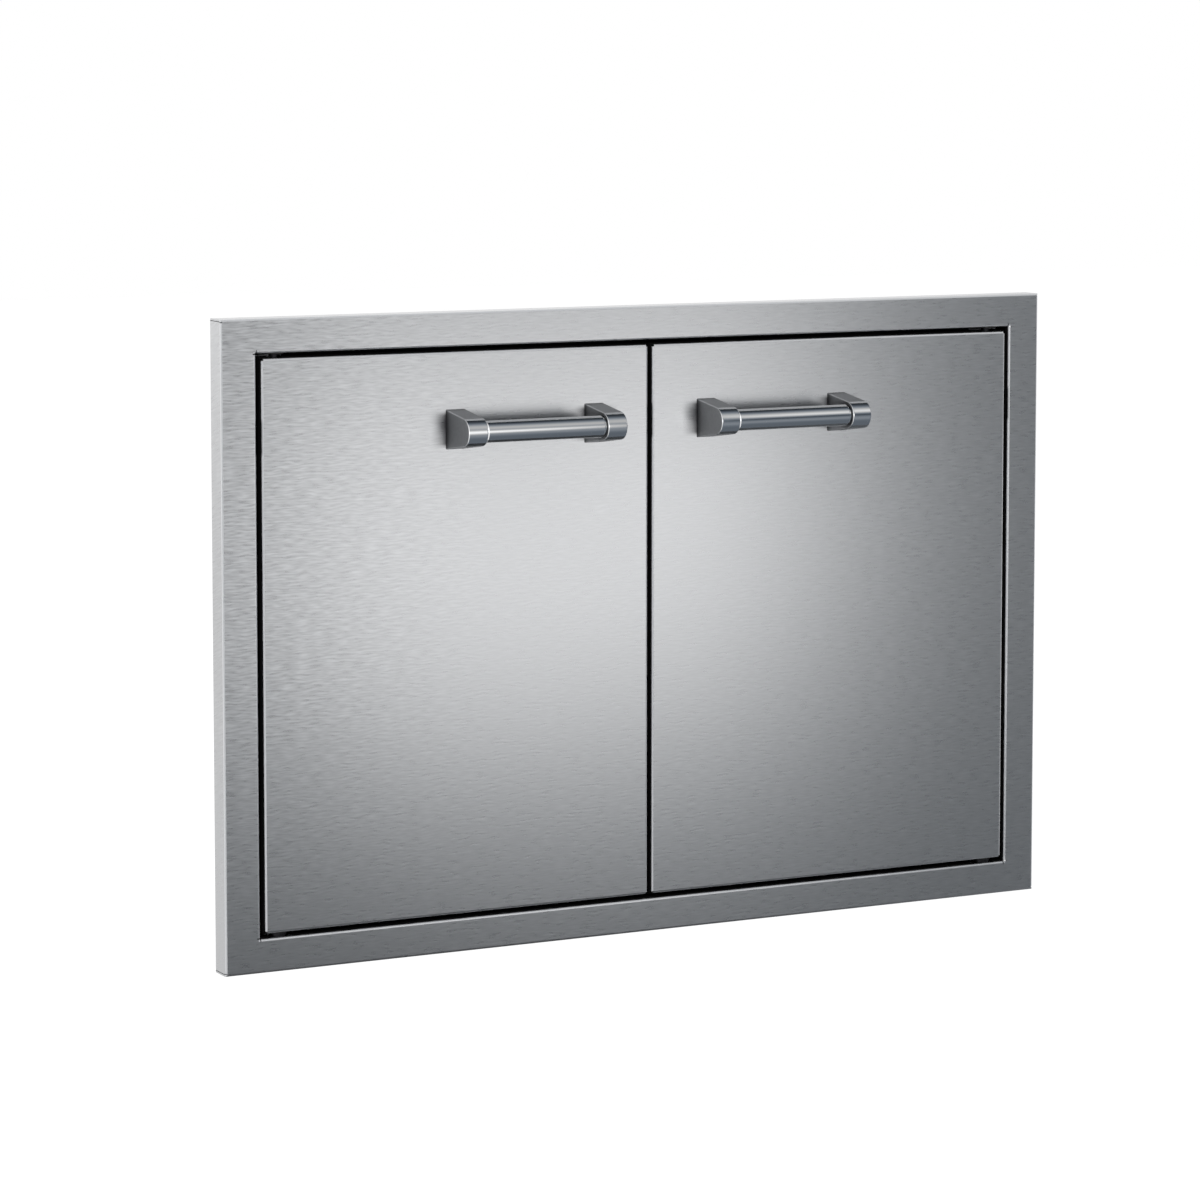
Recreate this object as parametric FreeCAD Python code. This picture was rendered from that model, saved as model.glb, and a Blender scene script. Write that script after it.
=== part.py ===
"""Double access door for the wall of an outdoor kitchen island, in millimetres.

Axes: +X to the right of someone facing the doors, +Y into the island, +Z up.
Origin: middle of the frame, in the plane of the island's face, where the trim's rear rim rests.
The left door is modelled, and the right door is its mirror image in the plane x = 0.
"""
import FreeCAD, Part
import math
import os

V = FreeCAD.Vector

# Overall frame and the opening that it leaves for the doors
frame_width = 813.0
frame_height = 559.0
side_rail_width = 32.0
end_rail_height = 29.5
trim_depth = 24.0
frame_sheet = 1.5
frame_bend_radius = 2.0
inner_flange_depth = 22.0
rear_rim_width = 10.0
relief_slit_width = 0.9
relief_slit_length = 3.0
corner_seam_width = 0.6
corner_dot_size = 1.9

# Box behind the trim, which goes into the cut-out of the island
jamb_sheet = 1.5
jamb_reach = 45.0
jamb_bend_radius = 2.0
jamb_start_behind_face = 2.5
jamb_hem_width = 12.0
jamb_screw_hole_diameter = 5.2
jamb_screw_depth = 28.0
side_screw_spacing = 340.0
end_screw_spacing = 500.0

# Door stops on the inside of the box
stop_sheet = 1.2
stop_front_y = 5.0
stop_leg_depth = 12.0
side_stop_width = 16.0
end_stop_height = 22.0
stop_bend_radius = 1.6

# Braces behind the corners of the trim
brace_sheet = 2.0
brace_arm_length = 30.0
brace_width = 18.0
brace_clearance = 1.0

# Doors
reveal = 4.5
door_proud = 1.0
door_depth = 20.0
door_sheet = 1.2
door_bend_radius = 2.0
door_rear_lip_width = 14.0
door_corner_notch = 1.8
liner_sheet = 1.0
liner_margin = 0.8
liner_panel_margin = 42.0
liner_panel_recess = 3.0
liner_panel_corner_radius = 12.0
liner_screws_per_side = 3
liner_screw_corner_inset = 85.0
liner_screw_diameter = 3.5
liner_screw_head_diameter = 7.0
liner_screw_head_height = 1.8
liner_screw_length = 6.0

# Hinge line of a door, from its hinge edge and from its front face
hinge_inset = 15.0
hinge_behind_front = 10.5

# Lower hinge
pin_diameter = 8.0
pin_running_clearance = 0.05
seat_clearance = 0.05
hinge_plate_thickness = 3.0
hinge_plate_length = 40.0
hinge_plate_front_margin = 2.0
hinge_plate_depth = 17.0
collar_diameter = 16.0
bush_diameter = 12.0
bush_flange_diameter = 18.0
bush_flange_thickness = 1.0
hinge_block_length = 30.0
hinge_block_height = 10.0
hinge_block_front_gap = 1.0
pin_tip_chamfer = 1.0
lock_nut_flats = 13.0
lock_nut_height = 6.5
pin_thread_projection = 1.5

# Upper hinge, with a pin that is pulled down to lift the door out
bracket_sheet = 3.0
bracket_width = 24.0
spring_gap_height = 31.0
pin_stop_collar_diameter = 14.0
pin_stop_collar_height = 3.0
release_travel = 12.0
pin_top_projection = 1.0
pin_tail_length = 14.0
spring_wire_diameter = 1.2
spring_mean_diameter = 10.6
spring_turns = 7
spring_end_gap = 0.3
knob_stud_diameter = 5.0
knob_diameter = 11.0
knob_thickness = 4.5
knob_liner_gap = 0.4
knob_slot_clearance = 1.0
knob_groove_depth = 0.8

# Handles
handle_length = 152.4
handle_post_width = 18.5
handle_base_height = 34.5
handle_nose_radius = 12.3
handle_standoff = 34.7
handle_edge_radius = 1.0
handle_below_door_top = 66.8
handle_from_free_edge = 44.5
bar_diameter = 19.0
bar_neck_diameter = 15.6
bar_neck_length = 1.4
bar_end_chamfer = 0.8
bar_spigot_diameter = 11.0
bar_spigot_length = 9.0
handle_screw_diameter = 6.0
handle_screw_bite = 16.0
handle_screw_head_diameter = 11.0
handle_screw_head_height = 3.5
backing_plate_height = 30.0
backing_plate_thickness = 2.0
backing_plate_overhang = 6.0
access_hole_diameter = 14.0
plug_head_diameter = 18.0
plug_head_thickness = 1.2
plug_wall = 1.2
plug_depth = 4.0

# Magnetic catch and its strike plates
catch_width = 76.0
catch_height = 14.0
catch_above_stop_edge = 2.5
catch_gap = 0.3
catch_edge_radius = 1.0
magnet_width = 20.0
magnet_height = 7.0
magnet_depth = 6.0
magnet_centre_spacing = 36.0
pole_plate_thickness = 1.0
pole_plate_proud = 0.4
catch_screw_diameter = 3.5
catch_screw_head_diameter = 7.0
catch_screw_head_height = 2.2
catch_screw_tail = 4.0
strike_width = 24.0
strike_height = 13.0
strike_thickness = 1.0
strike_rivet_diameter = 3.0
strike_rivet_head_diameter = 4.4
strike_rivet_head_height = 0.15
strike_rivet_length = 5.0
strike_rivet_inset = 3.2

# Rubber: bumpers, edge seals and the centre seal
bumper_diameter = 10.0
bumper_tip_diameter = 7.5
bumper_from_centre = 50.0
bumper_clearance = 0.3
seal_thickness = 0.8
seal_behind_front = 2.4
seal_hole_clearance = 1.0
centre_seal_depth = 9.0
centre_seal_behind_front = 5.0
centre_seal_clearance = 0.5

# Places worked out from the driving dimensions
face_y = -trim_depth
frame_half_width = frame_width / 2
frame_half_height = frame_height / 2
open_half_width = frame_half_width - side_rail_width
open_half_height = frame_half_height - end_rail_height
flange_end_y = face_y + inner_flange_depth
jamb_half_width = open_half_width + frame_sheet
jamb_half_height = open_half_height + frame_sheet
box_half_width = jamb_half_width + jamb_sheet
box_half_height = jamb_half_height + jamb_sheet

door_width = (2 * open_half_width - 3 * reveal) / 2
door_height = 2 * open_half_height - 2 * reveal
door_hinge_x = -open_half_width + reveal
door_free_x = door_hinge_x + door_width
door_top = door_height / 2
door_bottom = -door_top
door_front_y = face_y - door_proud
door_back_y = door_front_y + door_depth
liner_front_y = door_back_y - liner_sheet
lip_front_y = liner_front_y - door_sheet
skin_inner_y = door_front_y + door_sheet

hinge_x = door_hinge_x + hinge_inset
hinge_y = door_front_y + hinge_behind_front
pin_radius = pin_diameter / 2
pin_bore_radius = pin_radius + pin_running_clearance
bush_radius = bush_diameter / 2
bush_seat_radius = bush_radius + seat_clearance

bracket_top_z = door_top - door_sheet
bracket_inner_top_z = bracket_top_z - bracket_sheet
bracket_inner_bottom_z = bracket_inner_top_z - spring_gap_height
bracket_bottom_z = bracket_inner_bottom_z - bracket_sheet
knob_z = bracket_bottom_z - release_travel / 2 - knob_stud_diameter / 2 - knob_slot_clearance

handle_z = door_top - handle_below_door_top
handle_inner_end_x = door_free_x - handle_from_free_edge
handle_outer_end_x = handle_inner_end_x - handle_length
handle_axis_y = door_front_y - handle_standoff
post_centres = (
    handle_outer_end_x + handle_post_width / 2,
    handle_inner_end_x - handle_post_width / 2,
)

edge_tolerance = 0.001
cut_margin = 1.0


def box(x0, x1, y0, y1, z0, z1):
    """A block between two corners, given in any order along each axis."""
    size = (abs(x1 - x0), abs(y1 - y0), abs(z1 - z0))
    return Part.makeBox(*size, V(min(x0, x1), min(y0, y1), min(z0, z1)))


def centred_block(half_x, y0, y1, half_z):
    """A block that is centred on the frame in X and Z."""
    return box(-half_x, half_x, y0, y1, -half_z, half_z)


def rod(radius, start, end):
    """A round rod from one point to another."""
    direction = end - start
    return Part.makeCylinder(radius, direction.Length, start, direction)


def edges_at_y(shape, y):
    """The edges that lie wholly in the plane at y."""
    found = []
    for edge in shape.Edges:
        if all(abs(vertex.Y - y) < edge_tolerance for vertex in edge.Vertexes):
            found.append(edge)
    return found


def edges_along_x_at(shape, y, z):
    """The edges that run along X at the given y and z."""
    found = []
    for edge in shape.Edges:
        ends = edge.Vertexes
        level = all(abs(v.Y - y) < edge_tolerance and abs(v.Z - z) < edge_tolerance for v in ends)
        if len(ends) == 2 and level:
            found.append(edge)
    return found


def edges_along_z_at(shape, x, y):
    """The edges that run along Z at the given x and y."""
    found = []
    for edge in shape.Edges:
        ends = edge.Vertexes
        upright = all(abs(v.X - x) < edge_tolerance and abs(v.Y - y) < edge_tolerance for v in ends)
        if len(ends) == 2 and upright:
            found.append(edge)
    return found


def mirrored(shape):
    """The mirror image in the plane x = 0, which makes a right-hand piece of a left-hand one."""
    return shape.mirror(V(0, 0, 0), V(1, 0, 0))


def group(solids):
    """Several separate solids that share one node."""
    return Part.makeCompound(solids)


def save(name, shape):
    """Write one node, after a check that its geometry is sound."""
    if not shape.isValid():
        print("not valid:", name)
    shape.exportStep("parts/" + name + ".step")


def face_frame():
    """One sheet: face, outer returns with a rear rim, and inner flanges round the opening."""
    outer = centred_block(frame_half_width, face_y, 0, frame_half_height)
    front_and_back = edges_at_y(outer, face_y) + edges_at_y(outer, 0)
    outer = outer.makeFillet(frame_bend_radius, front_and_back)
    opening = centred_block(open_half_width, face_y - cut_margin, cut_margin, open_half_height)
    ring = outer.cut(opening)
    opening_edges = []
    for edge in edges_at_y(ring, face_y):
        inside = all(abs(v.X) < open_half_width + edge_tolerance for v in edge.Vertexes)
        if inside and all(abs(v.Z) < open_half_height + edge_tolerance for v in edge.Vertexes):
            opening_edges.append(edge)
    ring = ring.makeFillet(frame_bend_radius, opening_edges)

    inner_bend_radius = frame_bend_radius - frame_sheet
    hollow = centred_block(
        frame_half_width - frame_sheet,
        face_y + frame_sheet,
        -frame_sheet,
        frame_half_height - frame_sheet,
    )
    hollow = hollow.cut(centred_block(jamb_half_width, face_y, cut_margin, jamb_half_height))
    hollow = hollow.makeFillet(inner_bend_radius, edges_at_y(hollow, face_y + frame_sheet))
    rear_window = centred_block(
        frame_half_width - rear_rim_width,
        -frame_sheet - cut_margin,
        cut_margin,
        frame_half_height - rear_rim_width,
    )
    rear_window = rear_window.cut(
        centred_block(jamb_half_width, face_y, 2 * cut_margin, jamb_half_height)
    )
    flange_trim = centred_block(jamb_half_width, flange_end_y, cut_margin, jamb_half_height)
    sheet = ring.cut([hollow, rear_window, flange_trim])
    sheet = sheet.cut(frame_corner_reliefs() + frame_corner_seams())
    holes = []
    for side in (-1, 1):
        for sign in (-1, 1):
            flange_z = sign * open_half_height
            holes.append(hinge_hole(side * hinge_x, flange_z, sign * jamb_half_height, sign))
    return sheet.cut(holes)


def frame_corner_reliefs():
    """Slits at the inner corners of the face, and the room between the ends of the flanges."""
    cuts = []
    front = face_y - cut_margin
    behind_bend = face_y + frame_bend_radius
    for sx in (-1, 1):
        for sz in (-1, 1):
            corner_x = sx * open_half_width
            corner_z = sz * open_half_height
            slit_end_x = corner_x + sx * relief_slit_length
            slit_end_z = corner_z + sz * relief_slit_length
            inner_x = corner_x - sx * relief_slit_width
            inner_z = corner_z - sz * relief_slit_width
            cuts.append(box(inner_x, slit_end_x, front, flange_end_y, inner_z, corner_z))
            cuts.append(box(inner_x, corner_x, front, flange_end_y, inner_z, slit_end_z))
            post_end_x = corner_x + sx * (frame_bend_radius + edge_tolerance)
            post_end_z = corner_z + sz * (frame_bend_radius + edge_tolerance)
            cuts.append(box(inner_x, post_end_x, behind_bend, flange_end_y, inner_z, post_end_z))
    return cuts


def frame_corner_seams():
    """The open seam between two returns at each outer corner, with its relief in the front bend."""
    cuts = []
    for sx in (-1, 1):
        for sz in (-1, 1):
            edge_x = sx * (frame_half_width + cut_margin)
            inner_x = sx * (frame_half_width - frame_sheet - corner_seam_width)
            seam_top = sz * (frame_half_height - frame_sheet)
            seam_bottom = seam_top - sz * corner_seam_width
            front = face_y - cut_margin
            bend_end = face_y + frame_bend_radius
            rear = -frame_bend_radius
            cuts.append(box(edge_x, inner_x, bend_end, rear, seam_top, seam_bottom))
            dot_x = sx * (frame_half_width - corner_dot_size)
            dot_z = seam_top + sz * (corner_seam_width - corner_dot_size / 2)
            dot_end_z = dot_z - sz * corner_dot_size / 2
            cuts.append(box(edge_x, dot_x, front, bend_end, dot_z, dot_end_z))
    return cuts


def jamb_end(sign):
    """Top or bottom wall of the box, an angle with a hem turned in at the rear."""
    z_out = sign * box_half_height
    z_in = sign * jamb_half_height
    z_hem = sign * (box_half_height - jamb_hem_width)
    front_y = face_y + frame_sheet + jamb_start_behind_face
    wall = box(-box_half_width, box_half_width, front_y, jamb_reach, z_out, z_in)
    hem_front = jamb_reach - jamb_sheet
    hem = box(-jamb_half_width, jamb_half_width, hem_front, jamb_reach, z_in, z_hem)
    angle = wall.fuse(hem).removeSplitter()
    angle = angle.makeFillet(jamb_bend_radius, edges_along_x_at(angle, jamb_reach, z_out))
    hole_radius = jamb_screw_hole_diameter / 2
    holes = []
    for x in (-end_screw_spacing / 2, end_screw_spacing / 2):
        start = V(x, jamb_screw_depth, z_out + sign * cut_margin)
        holes.append(rod(hole_radius, start, V(x, jamb_screw_depth, z_in - sign * cut_margin)))
    for side in (-1, 1):
        holes.append(hinge_hole(side * hinge_x, z_in, z_out, sign))
    return angle.cut(holes)


def hinge_hole(x, z_in, z_out, sign):
    """Hole for a hinge pin below, or for a hinge bush above."""
    radius = bush_seat_radius if sign > 0 else pin_radius + seat_clearance
    start = V(x, hinge_y, z_in - sign * cut_margin)
    return rod(radius, start, V(x, hinge_y, z_out + sign * cut_margin))


def jamb_side():
    """Left wall of the box, an angle with a hem turned in at the rear."""
    front_y = face_y + frame_sheet + jamb_start_behind_face
    x_out = -box_half_width
    x_in = -jamb_half_width
    wall = box(x_out, x_in, front_y, jamb_reach, -jamb_half_height, jamb_half_height)
    hem_half = box_half_height - jamb_hem_width
    hem_front = jamb_reach - jamb_sheet
    hem = box(x_in, x_out + jamb_hem_width, hem_front, jamb_reach, -hem_half, hem_half)
    angle = wall.fuse(hem).removeSplitter()
    angle = angle.makeFillet(jamb_bend_radius, edges_along_z_at(angle, x_out, jamb_reach))
    holes = []
    for z in (-side_screw_spacing / 2, side_screw_spacing / 2):
        start = V(x_out - cut_margin, jamb_screw_depth, z)
        end = V(x_in + cut_margin, jamb_screw_depth, z)
        holes.append(rod(jamb_screw_hole_diameter / 2, start, end))
    return angle.cut(holes)


def stop_end(sign):
    """Top or bottom door stop: a lip in front of a leg that lies on the wall of the box."""
    z_wall = sign * jamb_half_height
    z_lip = sign * (open_half_height - end_stop_height)
    half = jamb_half_width
    back = stop_front_y + stop_sheet
    lip = box(-half, half, stop_front_y, back, z_wall, z_lip)
    leg = box(-half, half, back, stop_front_y + stop_leg_depth, z_wall, z_wall - sign * stop_sheet)
    angle = lip.fuse(leg).removeSplitter()
    angle = angle.makeFillet(stop_bend_radius, edges_along_x_at(angle, stop_front_y, z_wall))
    if sign > 0:
        angle = angle.cut([catch_screw_hole(x) for x in catch_screw_places()])
    return angle


def stop_side():
    """Left door stop, between the top and the bottom stops."""
    x_wall = -jamb_half_width
    x_lip = -(open_half_width - side_stop_width)
    half = open_half_height - end_stop_height
    back = stop_front_y + stop_sheet
    lip = box(x_wall, x_lip, stop_front_y, back, -half, half)
    leg = box(x_wall, x_wall + stop_sheet, back, stop_front_y + stop_leg_depth, -half, half)
    angle = lip.fuse(leg).removeSplitter()
    return angle.makeFillet(stop_bend_radius, edges_along_z_at(angle, x_wall, stop_front_y))


def corner_braces():
    """Four flat angles that lie behind the face at the corners of the trim."""
    braces = []
    y0 = face_y + frame_sheet
    y1 = y0 + brace_sheet
    for sx in (-1, 1):
        for sz in (-1, 1):
            out_x = sx * (frame_half_width - frame_sheet - brace_clearance)
            out_z = sz * (frame_half_height - frame_sheet - brace_clearance)
            in_x = out_x - sx * brace_width
            in_z = out_z - sz * brace_width
            flat = box(out_x, out_x - sx * brace_arm_length, y0, y1, out_z, in_z)
            upright = box(out_x, in_x, y0, y1, out_z, out_z - sz * brace_arm_length)
            braces.append(flat.fuse(upright).removeSplitter())
    return group(braces)


def hinge_plate(sign):
    """Plate on the outside of the top or bottom wall, round the left hinge."""
    z_near = sign * box_half_height
    z_far = z_near + sign * hinge_plate_thickness
    y0 = face_y + frame_sheet + hinge_plate_front_margin
    x0 = hinge_x - hinge_plate_length / 2
    plate = box(x0, x0 + hinge_plate_length, y0, y0 + hinge_plate_depth, z_near, z_far)
    return plate.cut(hinge_hole(hinge_x, z_near, z_far, sign))


def lower_pin():
    """Fixed pin: threaded tail through the frame, collar that carries the door, plain top."""
    collar_bottom = -open_half_height
    collar_top = door_bottom - bush_flange_thickness - seat_clearance
    plate_bottom = -box_half_height - hinge_plate_thickness
    tail_bottom = plate_bottom - lock_nut_height - pin_thread_projection
    tip = door_bottom + door_sheet + hinge_block_height
    collar = rod(collar_diameter / 2, V(0, 0, collar_bottom), V(0, 0, collar_top))
    shank = rod(pin_radius, V(0, 0, tail_bottom), V(0, 0, tip - pin_tip_chamfer))
    nose_radius = pin_radius - pin_tip_chamfer
    nose = Part.makeCone(pin_radius, nose_radius, pin_tip_chamfer, V(0, 0, tip - pin_tip_chamfer))
    pin = collar.fuse([shank, nose]).removeSplitter()
    pin.translate(V(hinge_x, hinge_y, 0))
    return pin


def lock_nut():
    """Hexagon nut under the hinge plate."""
    top = -box_half_height - hinge_plate_thickness
    corner_radius = lock_nut_flats / math.sqrt(3)
    corners = []
    for i in range(7):
        angle = math.radians(60 * i + 30)
        corners.append(V(corner_radius * math.cos(angle), corner_radius * math.sin(angle), 0))
    nut = Part.Face(Part.makePolygon(corners)).extrude(V(0, 0, lock_nut_height))
    bore = rod(pin_radius + seat_clearance, V(0, 0, -cut_margin), V(0, 0, lock_nut_height + cut_margin))
    nut = nut.cut(bore)
    nut.translate(V(hinge_x, hinge_y, top - lock_nut_height))
    return nut


def flanged_bush(flange_z, sign, length):
    """Plastic bush whose flange lies at flange_z, and whose sleeve runs towards sign for length."""
    flange_start = flange_z - sign * bush_flange_thickness
    flange = rod(bush_flange_diameter / 2, V(0, 0, flange_start), V(0, 0, flange_z))
    sleeve = rod(bush_radius, V(0, 0, flange_z), V(0, 0, flange_z + sign * length))
    bore_start = V(0, 0, flange_start - sign * cut_margin)
    bore_end = V(0, 0, flange_z + sign * (length + cut_margin))
    bush = flange.fuse(sleeve).removeSplitter().cut(rod(pin_bore_radius, bore_start, bore_end))
    bush.translate(V(hinge_x, hinge_y, 0))
    return bush


def upper_frame_bush():
    """Bush in the top of the frame, which takes the tip of the upper pin."""
    wall_thickness = frame_sheet + jamb_sheet + hinge_plate_thickness
    return flanged_bush(open_half_height, 1, wall_thickness)


def lower_door_bush():
    """Bush in the bottom of the door, which turns on the lower pin."""
    return flanged_bush(door_bottom, 1, door_sheet + hinge_block_height)


def door_skin():
    """Outer pan of the left door: face, four returns and rear lips for the liner."""
    outer = box(door_hinge_x, door_free_x, door_front_y, liner_front_y, door_bottom, door_top)
    bends = edges_at_y(outer, door_front_y) + edges_at_y(outer, liner_front_y)
    outer = outer.makeFillet(door_bend_radius, bends)
    x0 = door_hinge_x + door_sheet
    x1 = door_free_x - door_sheet
    z0 = door_bottom + door_sheet
    z1 = door_top - door_sheet
    hollow = box(x0, x1, skin_inner_y, lip_front_y, z0, z1)
    hollow = hollow.makeFillet(
        door_bend_radius - door_sheet,
        edges_at_y(hollow, skin_inner_y) + edges_at_y(hollow, lip_front_y),
    )
    lip = door_rear_lip_width
    window = box(
        door_hinge_x + lip,
        door_free_x - lip,
        lip_front_y - cut_margin,
        liner_front_y + cut_margin,
        door_bottom + lip,
        door_top - lip,
    )
    cuts = [hollow, window]
    for x, into_x in ((door_hinge_x, 1), (door_free_x, -1)):
        for z, into_z in ((door_bottom, 1), (door_top, -1)):
            cuts.append(
                box(
                    x - into_x * cut_margin,
                    x + into_x * door_corner_notch,
                    door_front_y - cut_margin,
                    liner_front_y + cut_margin,
                    z - into_z * cut_margin,
                    z + into_z * door_corner_notch,
                )
            )
    bush_start = V(hinge_x, hinge_y, door_bottom - cut_margin)
    bush_end = V(hinge_x, hinge_y, door_bottom + door_sheet + cut_margin)
    cuts.append(rod(bush_seat_radius, bush_start, bush_end))
    pin_start = V(hinge_x, hinge_y, door_top - door_sheet - cut_margin)
    pin_end = V(hinge_x, hinge_y, door_top + cut_margin)
    cuts.append(rod(pin_bore_radius, pin_start, pin_end))
    for x in post_centres:
        start = V(x, door_front_y - cut_margin, handle_z)
        end = V(x, skin_inner_y + cut_margin, handle_z)
        cuts.append(rod(handle_screw_diameter / 2 + seat_clearance, start, end))
    skin = outer.cut(cuts)
    return skin.cut(liner_screw_holes() + strike_rivet_holes() + knob_slot(lip_front_y, liner_front_y))


def liner_screw_places():
    """Centres of the liner's screws, in the middle of the rear lips and clear of the corners."""
    places = []
    inset = door_rear_lip_width / 2
    x_step = (door_width - 2 * liner_screw_corner_inset) / (liner_screws_per_side - 1)
    z_step = (door_height - 2 * liner_screw_corner_inset) / (liner_screws_per_side - 1)
    for i in range(liner_screws_per_side):
        x = door_hinge_x + liner_screw_corner_inset + i * x_step
        z = door_bottom + liner_screw_corner_inset + i * z_step
        places.append((x, door_bottom + inset))
        places.append((x, door_top - inset))
        places.append((door_hinge_x + inset, z))
        places.append((door_free_x - inset, z))
    return places


def liner_screw_holes():
    """Holes for the liner's screws, through the lips and the liner."""
    radius = liner_screw_diameter / 2 + seat_clearance
    holes = []
    for x, z in liner_screw_places():
        holes.append(rod(radius, V(x, lip_front_y - cut_margin, z), V(x, door_back_y + cut_margin, z)))
    return holes


def liner_screws():
    """Pan-head screws that hold the liner on the lips."""
    screws = []
    for x, z in liner_screw_places():
        tail = V(x, door_back_y - liner_screw_length, z)
        seat = V(x, door_back_y, z)
        shank = rod(liner_screw_diameter / 2, tail, seat)
        head = Part.makeCone(
            liner_screw_head_diameter / 2,
            liner_screw_head_diameter / 2 - liner_screw_head_height / 2,
            liner_screw_head_height,
            seat,
            V(0, 1, 0),
        )
        screws.append(shank.fuse(head).removeSplitter())
    return group(screws)


def knob_slot(y0, y1):
    """Slot that lets the knob's stud travel, between two depths."""
    half_width = knob_stud_diameter / 2 + knob_slot_clearance
    top = knob_z
    bottom = knob_z - release_travel
    start = V(hinge_x, y0 - cut_margin, top)
    upper = rod(half_width, start, V(hinge_x, y1 + cut_margin, top))
    start = V(hinge_x, y0 - cut_margin, bottom)
    lower = rod(half_width, start, V(hinge_x, y1 + cut_margin, bottom))
    middle = box(
        hinge_x - half_width, hinge_x + half_width, y0 - cut_margin, y1 + cut_margin, bottom, top
    )
    return [upper, lower, middle]


def door_liner():
    """Inner panel of the left door, with a shallow pressed field and its access holes."""
    x0 = door_hinge_x + liner_margin
    x1 = door_free_x - liner_margin
    z0 = door_bottom + liner_margin
    z1 = door_top - liner_margin
    plate = box(x0, x1, liner_front_y, door_back_y, z0, z1)
    m = liner_panel_margin
    floor_y = door_back_y - liner_panel_recess
    back = door_back_y + cut_margin
    press_radius = liner_panel_corner_radius
    pressed = box(x0 + m, x1 - m, floor_y - liner_sheet, liner_front_y, z0 + m, z1 - m)
    pressed = pressed.makeFillet(press_radius, edges_along_y(pressed))
    field = m + liner_sheet
    field_radius = press_radius - liner_sheet
    well = box(x0 + field, x1 - field, floor_y, back, z0 + field, z1 - field)
    well = well.makeFillet(field_radius, edges_along_y(well))
    cuts = [well] + liner_screw_holes() + knob_slot(liner_front_y, door_back_y)
    for x in post_centres:
        start = V(x, floor_y - liner_sheet - cut_margin, handle_z)
        end = V(x, back, handle_z)
        cuts.append(rod(access_hole_diameter / 2, start, end))
    cuts.extend(strike_rivet_holes())
    return plate.fuse(pressed).removeSplitter().cut(cuts)


def edges_along_y(shape):
    """The edges that run straight along Y."""
    found = []
    for edge in shape.Edges:
        a, b = edge.Vertexes
        if abs(a.X - b.X) < edge_tolerance and abs(a.Z - b.Z) < edge_tolerance:
            found.append(edge)
    return found


def lower_hinge_block():
    """Block inside the bottom of the door, bored for the lower bush."""
    y0 = skin_inner_y + hinge_block_front_gap
    y1 = lip_front_y - hinge_block_front_gap
    z0 = door_bottom + door_sheet
    x0 = door_hinge_x + door_sheet
    block = box(x0, x0 + hinge_block_length, y0, y1, z0, z0 + hinge_block_height)
    start = V(hinge_x, hinge_y, z0 - cut_margin)
    end = V(hinge_x, hinge_y, z0 + hinge_block_height + cut_margin)
    return block.cut(rod(bush_seat_radius, start, end))


def upper_pin_bracket():
    """Channel inside the top of the door that guides the upper pin above and below its spring."""
    x0 = hinge_x - bracket_width / 2
    x1 = hinge_x + bracket_width / 2
    y0 = skin_inner_y + hinge_block_front_gap
    y1 = lip_front_y - hinge_block_front_gap
    top = box(x0, x1, y0, y1, bracket_inner_top_z, bracket_top_z)
    bottom = box(x0, x1, y0, y1, bracket_bottom_z, bracket_inner_bottom_z)
    web = box(x1, x1 + bracket_sheet, y0, y1, bracket_bottom_z, bracket_top_z)
    bracket = web.fuse([top, bottom]).removeSplitter()
    start = V(hinge_x, hinge_y, bracket_bottom_z - cut_margin)
    end = V(hinge_x, hinge_y, bracket_top_z + cut_margin)
    return bracket.cut(rod(pin_bore_radius, start, end))


def upper_pin():
    """Sprung pin: tip in the frame's bush, stop collar under the bracket, tail for the knob."""
    tip_z = box_half_height + hinge_plate_thickness + pin_top_projection
    tail_z = bracket_bottom_z - pin_tail_length
    collar_top = bracket_inner_top_z - seat_clearance
    shank = rod(pin_radius, V(0, 0, tail_z), V(0, 0, tip_z - pin_tip_chamfer))
    nose_radius = pin_radius - pin_tip_chamfer
    nose_start = V(0, 0, tip_z - pin_tip_chamfer)
    nose = Part.makeCone(pin_radius, nose_radius, pin_tip_chamfer, nose_start)
    collar_bottom = collar_top - pin_stop_collar_height
    collar = rod(pin_stop_collar_diameter / 2, V(0, 0, collar_bottom), V(0, 0, collar_top))
    pin = shank.fuse([nose, collar]).removeSplitter()
    pin.translate(V(hinge_x, hinge_y, 0))
    socket_start = V(hinge_x, hinge_y, knob_z)
    socket_end = V(hinge_x, hinge_y + pin_diameter, knob_z)
    return pin.cut(rod(knob_stud_diameter / 2, socket_start, socket_end))


def release_knob():
    """Knob behind the liner with its stud, which screws into the pin's tail."""
    base_y = door_back_y + knob_liner_gap
    top_y = base_y + knob_thickness
    stud = rod(knob_stud_diameter / 2, V(hinge_x, hinge_y, knob_z), V(hinge_x, base_y, knob_z))
    head = rod(knob_diameter / 2, V(hinge_x, base_y, knob_z), V(hinge_x, top_y, knob_z))
    head = head.makeChamfer(knob_groove_depth, edges_at_y(head, top_y))
    return stud.fuse(head).removeSplitter()


def coil_centreline(radius, rise, turns):
    """Centreline of a coil about Z: each quarter turn is two arcs that share their tangents."""
    quarters = 4 * turns
    slope = rise / (2 * math.pi * radius * turns)
    edges = []
    for i in range(quarters):
        ends = []
        for step in (i, i + 1):
            angle = math.pi / 2 * step
            place = V(radius * math.cos(angle), radius * math.sin(angle), rise * step / quarters)
            heading = V(-math.sin(angle), math.cos(angle), slope)
            ends.append((place, heading.normalize()))
        edges.extend(two_arcs(*ends[0], *ends[1]))
    return Part.Wire(edges)


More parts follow.
